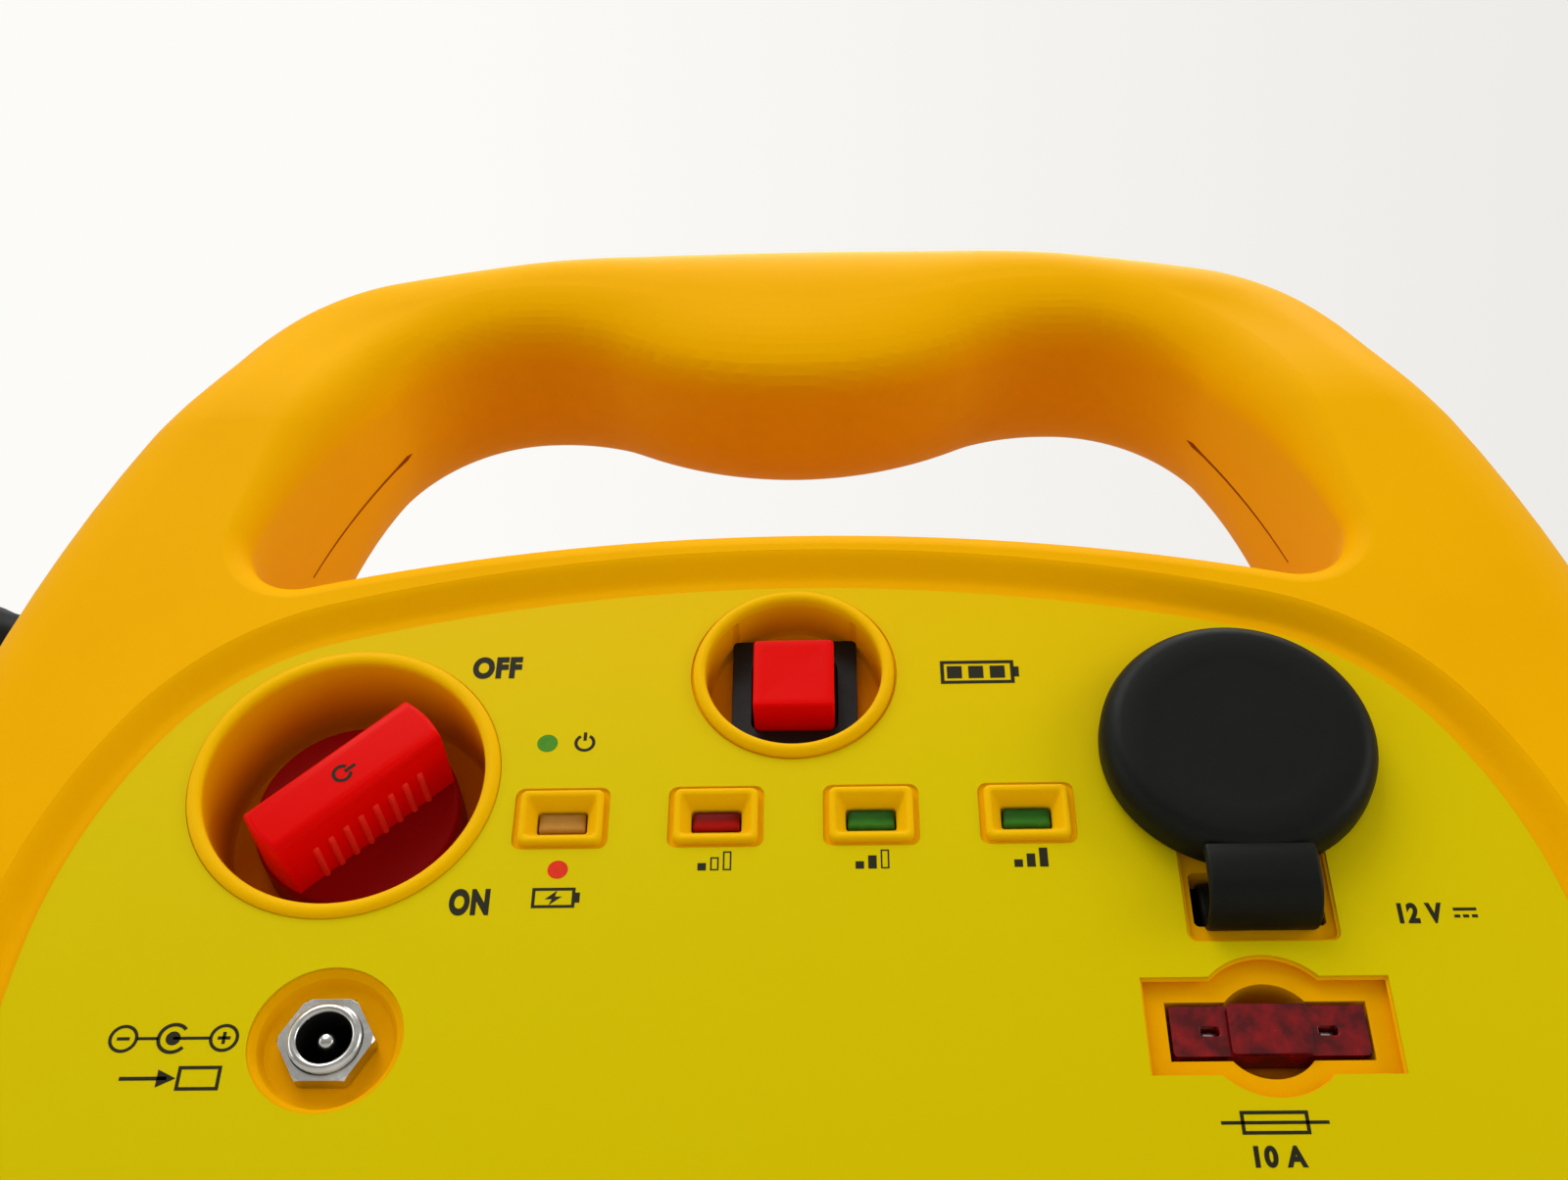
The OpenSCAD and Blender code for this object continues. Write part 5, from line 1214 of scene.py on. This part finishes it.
def capStrap():
    # a flat band that leaves the cap's lower edge, curls back and goes down into its slot
    hinge = (pack["label"] + strap["hinge"][0], pack["datum"] + strap["hinge"][1])
    curl = [(-strap["curl"] * sin(a), -strap["curl"] * cos(a)) for a in range(0, 181, 12)]
    line, r = strap["start"] + curl + strap["end"], strap["corner"]
    across, up, section = strap["half"] - r, strap["thick"] - r, []
    for cx, cy, a in ((across, up, 0), (-across, up, 90), (-across, -up, 180), (across, -up, 270)):
        section += [(cx + r * cos(a + k), cy + r * sin(a + k)) for k in (0, 22, 45, 68, 90)]
    band, rings = Build(), []
    for i, (high, deep) in enumerate(line):
        before, after = line[max(i - 1, 0)], line[min(i + 1, len(line) - 1)]
        run = Vector((after[0] - before[0], after[1] - before[1])).normalized()
        side = Vector((-run.y, run.x))
        rings.append([(panel["socket"][0] + a, hinge[0] + deep + b * side.y, hinge[1] + high + b * side.x)
                      for a, b in section])
    band.rows(rings, True, (True, True))
    piece = band.make("capStrap", finish["blackRubber"], body=None, smooth=55)
    start, end = [(panel["socket"][0] * mm, (hinge[0] + y) * mm, hinge[1] * mm) for y in strap["bend"]]
    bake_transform(piece)
    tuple(start)
    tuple(end)
    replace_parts(piece, "cap_strap")


socketCap()
capStrap()
print("cap and strap")


jack = {
    "nut": [(4.8, 0.1), (5.1, 0.38), (5.1, 1.72), (4.85, 2.0)], "bore": 3.86, "flat": 4.42, "half": 6,
    "lip": [(2.78, 9.5), (2.78, -0.3), (2.9, -0.52), (3.1, -0.6), (3.45, -0.6), (3.6, -0.48)],
    "threads": 4, "firstThread": -0.35, "pitch": 0.55, "turns": 72,
    "thread": [(3.78, 0), (3.8, 0.12), (3.58, 0.28), (3.58, 0.36)],
    "barrel": [(3.8, 1.95), (3.8, 4.4), (5.6, 4.4), (5.6, 19.4), (2.78, 19.4)],
    "pin": [(0.001, 0.15), (0.55, 0.2), (0.85, 0.42), (0.95, 0.75), (0.95, 11.4), (0.001, 11.4)],
}


def chargingJack():
    place, flat, half = onPanel(*panel["jack"]), jack["flat"], jack["half"]
    bore = rod(place, [(jack["bore"], -1), (jack["bore"], 3)], 48)
    nut = carve(rod(place, jack["nut"], 72), [(False, bore)])
    for a in range(0, 360, 60):
        block, u, v = Build(), Vector((cos(a + 30), sin(a + 30))), Vector((-sin(a + 30), cos(a + 30)))
        near, far, side = flat * u, (flat + 4) * u, half * v
        corners = [near + side, far + side, far - side, near - side]
        block.rows([[place(c.x, c.y, d) for c in corners] for d in (-1, 3)], True, (True, True))
        nut = carve(nut, [(False, block)])
    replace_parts(dress(nut, "jackNut", finish["nickel"], bevel=0.08), "jack_nut")
    body, profile, turns = Build(), list(jack["lip"]), jack["turns"]
    for k in range(jack["threads"]):
        d = jack["firstThread"] + jack["pitch"] * k
        profile += [(r, d + e) for r, e in jack["thread"]]
    metal = range(1, len(profile))
    body.band(profile + jack["barrel"], place, turns)
    body.marks = [1 if i // turns in metal else 0 for i in range(len(body.faces))]
    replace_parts(body.make("jackBody", [finish["blackPlastic"], finish["nickel"]], smooth=40), "jack_body")
    pin = Build()
    pin.lathe(jack["pin"], place, 32, (True, True))
    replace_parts(pin.make("jackPin", finish["nickel"], smooth=40), "jack_pin")


chargingJack()
print("jack")


blade = {  # each block's size, then its rings
    "head": ((19.2, 5, 0.5), [(-0.25, 1.4), (-0.06, 1.48), (0, 1.65), (0, 4.8), (-0.1, 4.8)]),
    "rise": ((7.7, 4.94, 0.4), [(-0.25, 0.8), (-0.06, 0.88), (0, 1.05), (0, 4)]),
    "neck": ((16.2, 4, 0.4), [(0, 4.5), (0, 12.8)]),
    "slot": ((1.9, 1.0, 0.3), [(0.12, 0), (0.12, 1.35), (0, 1.5), (0, 2.8)]),
    "slotOut": 5.9, "tip": [(1.6, 0.8, 0.2, 3.2), (1.6, 0.8, 0.2, 2.5), (1.3, 0.6, 0.2, 2.35)],
}


def bladeFuse():
    x, up = panel["fuse"]
    head, rise, neck = [panelBlock(x, up, roundedBox(*size), rings)
                        for size, rings in (blade["head"], blade["rise"], blade["neck"])]
    size, rings = blade["slot"]
    sides = [x - blade["slotOut"], x + blade["slotOut"]]
    slots = [(False, panelBlock(side, up, roundedBox(*size), rings)) for side in sides]
    piece = carve(head, [(True, rise), (True, neck)] + slots)
    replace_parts(dress(piece, "fuseBody", finish["fusePlastic"], body="fuse", bevel=0.07), "fuse_body")
    tips = Build()
    for side in sides:
        tips.rows(boxRings(onPanel(side, up), blade["tip"], 3), True, (True, True))
    tips.make("fuseTips", finish["nickel"], body="fuse", smooth=50)


bladeFuse()
print("fuse")


gland = {
    "foot": [(4.02, -6.4), (5.3, -6.4), (5.3, 0.3), (6.7, 0.35), (6.9, 0.6), (6.9, 1.8), (6.65, 2.1),
             (5.45, 2.2)],
    "ribs": 4, "ribStart": 3.0, "ribPitch": 1.9, "radius": 5.3, "taper": 0.16,
    "rib": [(-0.03, -0.4), (-0.5, -0.2), (-0.5, 0.25), (-0.08, 0.45)],
    "mouth": [(4.62, 10.4), (4.5, 10.85), (4.3, 11), (4.02, 11)],
}
post = {
    "y": -18, "z": 146,
    "profile": [(0.001, 0), (7.6, 0), (8, 0.3), (8, 1.6), (7.6, 2), (5.6, 2.05), (5.1, 2.3), (5, 2.8),
                (5, 24.6), (5.2, 24.9), (7.2, 25), (7.5, 25.3), (7.5, 27), (7.1, 27.4), (5.5, 27.5),
                (0.001, 27.5)],
}
foot = {
    "x": 66.5, "y": (-32, 30),
    "profile": [(0.001, 0.35), (5.6, 0.35), (6, 0), (8.6, 0), (9, 0.2), (9.2, 0.6), (10, 3.6), (10, 4),
                (0.001, 4)],
}


def postPlace(s):
    return lambda a, b, d: (s * (pack["halfWidth"] + d), post["y"] + a, post["z"] + b)


def footPlace(x, y):
    return lambda a, b, d: (x + a, y + b, d)


def sidePieces():
    profile = list(gland["foot"])
    for k in range(gland["ribs"]):
        d, r = gland["ribStart"] + gland["ribPitch"] * k, gland["radius"] - gland["taper"] * k
        profile += [(r + a, d + b) for a, b in gland["rib"]]
    for s, side in ((-1, "left"), (1, "right")):
        sleeve = Build()
        sleeve.band(profile + gland["mouth"], exitPlace(s), 56)
        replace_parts(sleeve.make(f"{side}Gland", finish["blackRubber"], smooth=40), f"{side}_gland")
        peg = Build()
        peg.lathe(post["profile"], postPlace(s), 64, (True, True))
        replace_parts(peg.make(f"{side}Post", finish["blackPlastic"], smooth=40), f"{side}_post")
    feet = Build()
    for s in (-1, 1):
        for y in foot["y"]:
            feet.lathe(foot["profile"], footPlace(s * foot["x"], y), 56, (True, True))
    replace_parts(feet.make("rubberFeet", finish["blackRubber"], smooth=40), "rubber_feet")


sidePieces()
print("glands, posts and feet")

clip = {
    "x": 116, "y": -18, "z": 118, "half": 10, "cheek": 2, "gap": 0.3, "jawThick": 1.6, "padGap": 0.05,
    "bore": 2.55,
    "outside": [(6.5, 42), (11.5, 31), (11.5, 22), (10.5, 10), (11.5, 0), (14.5, -20), (21, -54), (21, -74)],
    "inside": [(18, -74), (18, -54), (11.5, -20), (8.5, 0), (7.5, 9)],
    "cheekLine": [(-3.2, -7.6), (-5.4, -4.6), (-6, 0), (-5.4, 4.8), (-3, 8), (10.2, 10), (11.2, 0),
                  (14.2, -20), (11.5, -26), (6.5, -19), (2, -12)],
    "strapLug": [(9, -73.6), (20.5, -73.6), (20.5, -65), (9.5, -65), (9, -66)], "lugHalf": 6,
    "room": [(-7, -14), (6.5, -14), (6.5, 10), (-7, 10)], "roomHalf": 8,
    "ridges": 9, "ridgeStart": -70, "ridgePitch": 3.2, "ridgeFace": 21.0,
    "ridge": [(-8.4, 0.05), (-8.0, 0.8), (-7.4, 1), (7.4, 1), (8.0, 0.8), (8.4, 0.05)],
    "teeth": 5, "toothStart": 35, "toothPitch": 1.6, "toothRadius": 0.8, "toothIn": 0.6,
    "pin": [(0.001, -11.4), (2.6, -11.5), (3.5, -11.2), (4, -10.6), (4, -10.02), (2.5, -10.02), (2.5, 10.02),
            (4, 10.02), (4, 10.6), (3.5, 11.2), (2.6, 11.5), (0.001, 11.4)],
}
coil = {
    "radius": 4.0, "pitch": 2.4, "turns": 4, "steps": 20, "wire": 0.8, "bend": 5,
    "start": [(-7.6, -24), (-7.2, -20.5), (-6.4, -15), (-5.0, -7)],
    "end": [(5.0, -7), (6.2, -15), (7.2, -20.5), (7.6, -24)],
}
jawLine = [(4.5, 9), (3.4, 16), (4.2, 22), (5.3, 25.5), (5.3, 30.5), (3.6, 34), (1, 40), (1, 42)]


def clampPlace(s, f):
    return lambda u, v, w: (s * clip["x"] + w, clip["y"] + f * u, clip["z"] + v)


def slab(s, f, line, w0, w1):
    # a lever's outline between two planes across the clamp
    made, place = Build(), clampPlace(s, f)
    made.rows([[place(u, v, w) for u, v in line] for w in (w0, w1)], True, (True, True))
    return made


def leverNames(side, f):
    return ("Front", "case") if f < 0 else ("Rear", f"{side}_lever")


def makeLever(s, side, f, kind):
    half, thick, place = clip["half"], clip["cheek"], clampPlace(s, f)
    name, body = leverNames(side, f)
    inner = [(u + clip["jawThick"] + clip["padGap"], v) for u, v in jawLine]
    back = slab(s, f, inner + smoothPath(clip["outside"], 5) + smoothPath(clip["inside"], 5), -half, half)
    reach = half - (0 if f < 0 else thick + clip["gap"])
    steps = [(True, slab(s, f, clip["cheekLine"], w, w + thick)) for w in (-reach, reach - thick)]
    if f < 0:
        steps.append((True, slab(s, f, clip["strapLug"], -clip["lugHalf"], clip["lugHalf"])))
    bore = Build()
    bore.lathe([(clip["bore"], -12), (clip["bore"], 12)], place, 40, (True, True))
    steps.append((False, bore))
    if f < 0:
        steps.append((False, slab(s, f, clip["room"], -clip["roomHalf"], clip["roomHalf"])))
    piece = dress(carve(back, steps), f"{side}{name}Lever", kind, body=body,
                  bevel=0.55, segments=3, smooth=35)
    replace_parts(piece, f"{side}_{name.lower()}_lever")
    grip = Build()
    for k in range(clip["ridges"]):
        v, u, rings = clip["ridgeStart"] + clip["ridgePitch"] * k, clip["ridgeFace"], []
        for w, g in clip["ridge"]:
            rings.append([place(u + g * 0.55 * max(0.0, cos(a)) - 0.05,
                                v + 0.75 * sin(a) * (0.4 + 0.6 * g), w) for a in range(0, 360, 30)])
        grip.rows(rings, True, (True, True))
    grip.make(f"{side}{name}Grip", kind, body=body, smooth=60)


def toothPlace(place, up):
    return lambda a, b, d: place(clip["toothIn"] + a, up + b, d)


def makeJaw(s, side, f):
    wide, r = clip["half"] - 2 * clip["cheek"] - 2 * clip["gap"], clip["toothRadius"]
    name, body = leverNames(side, f)
    line, teeth = jawLine + [(u + clip["jawThick"], v) for u, v in jawLine[::-1]], []
    for i in range(clip["teeth"]):
        tooth, place = Build(), toothPlace(clampPlace(s, f), clip["toothStart"] + clip["toothPitch"] * i)
        tooth.lathe([(r, -wide - 1), (r, wide + 1)], place, 20, (True, True))
        teeth.append((False, tooth))
    jaw = carve(slab(s, f, line, -wide, wide), teeth)
    jaw = dress(jaw, f"{side}{name}Jaw", finish["copperJaw"], body=body, bevel=0.2)
    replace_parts(jaw, f"{side}_{name.lower()}_jaw")


def makeSpring(s, side):
    r, pitch, turns, steps = coil["radius"], coil["pitch"], coil["turns"], coil["steps"]
    h = pitch * turns
    path = [(-h / 2, b, c) for b, c in coil["start"]]
    for i in range(turns * steps + 1):
        turn = 180 + 360 * i / steps
        path.append((-h / 2 + pitch * i / steps, r * cos(turn), -r * sin(turn)))
    path += [(h / 2, b, c) for b, c in coil["end"]]
    points = [Vector((s * clip["x"] + a, clip["y"] + b, clip["z"] + c)) for a, b, c in path]
    wire, rings, up = Build(), [], None
    for i, p in enumerate(points):
        run = (points[min(i + 1, len(points) - 1)] - points[max(i - 1, 0)]).normalized()
        up = (up - up.dot(run) * run if up else run.orthogonal()).normalized()
        across = run.cross(up)
        rings.append([p + coil["wire"] * (cos(a) * up + sin(a) * across) for a in range(0, 360, 36)])
    wire.rows(rings, True, (True, True))
    piece = wire.make(f"{side}Spring", finish["springSteel"], body=None, smooth=60)
    start, end = [(s * clip["x"] * mm, (clip["y"] + y) * mm, clip["z"] * mm)
                  for y in (-coil["bend"], coil["bend"])]
    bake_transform(piece)
    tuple(start)
    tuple(end)
    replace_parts(piece, f"{side}_spring")


for s, side in ((-1, "left"), (1, "right")):
    kind = finish["gripRed" if s < 0 else "gripBlack"]
    for f in (-1, 1):
        makeLever(s, side, f, kind)
        makeJaw(s, side, f)
    pin = Build()
    pin.lathe(clip["pin"], clampPlace(s, 1), 48, (True, True))
    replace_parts(pin.make(f"{side}Pin", finish["nickel"], smooth=40), f"{side}_pin")
    makeSpring(s, side)
print("clamps")


def makeCable(name, side, finish, node):
    data = bpy.data.curves.new(name, "CURVE")
    data.dimensions, data.bevel_depth, data.bevel_resolution = "3D", cable["radius"] * mm, 6
    data.use_fill_caps = True
    line = data.splines.new("POLY")
    path = smoothPath(cableRoute, 6)
    line.points.add(len(path) - 1)
    for spot, p in zip(line.points, path):
        spot.co = (side * p.x * mm, p.y * mm, p.z * mm, 1)
    line.use_smooth = True
    data.materials.append(finish.block)
    piece = bpy.data.objects.new(name, data)
    scene.collection.objects.link(piece)
    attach(piece, "case")
    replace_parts(piece, node)
    length = sum((b - a).length for a, b in zip(path, path[1:])) * mm
    return piece


makeCable("leftCable", -1, finish["blackRubber"], "left_cable")
makeCable("rightCable", 1, finish["blackRubber"], "right_cable")
print("cables")
floor, far = Build(), studio["floorHalf"]
floor.face(floor.ring([(-far, -far, 0), (far, -far, 0), (far, far, 0), (-far, far, 0)]))
floorPaint = Finish("floorPaint").surface(Base_Color=studio["floor"], Roughness=studio["floorRough"])
floorPiece = floor.make("studioFloor", floorPaint, body=None)
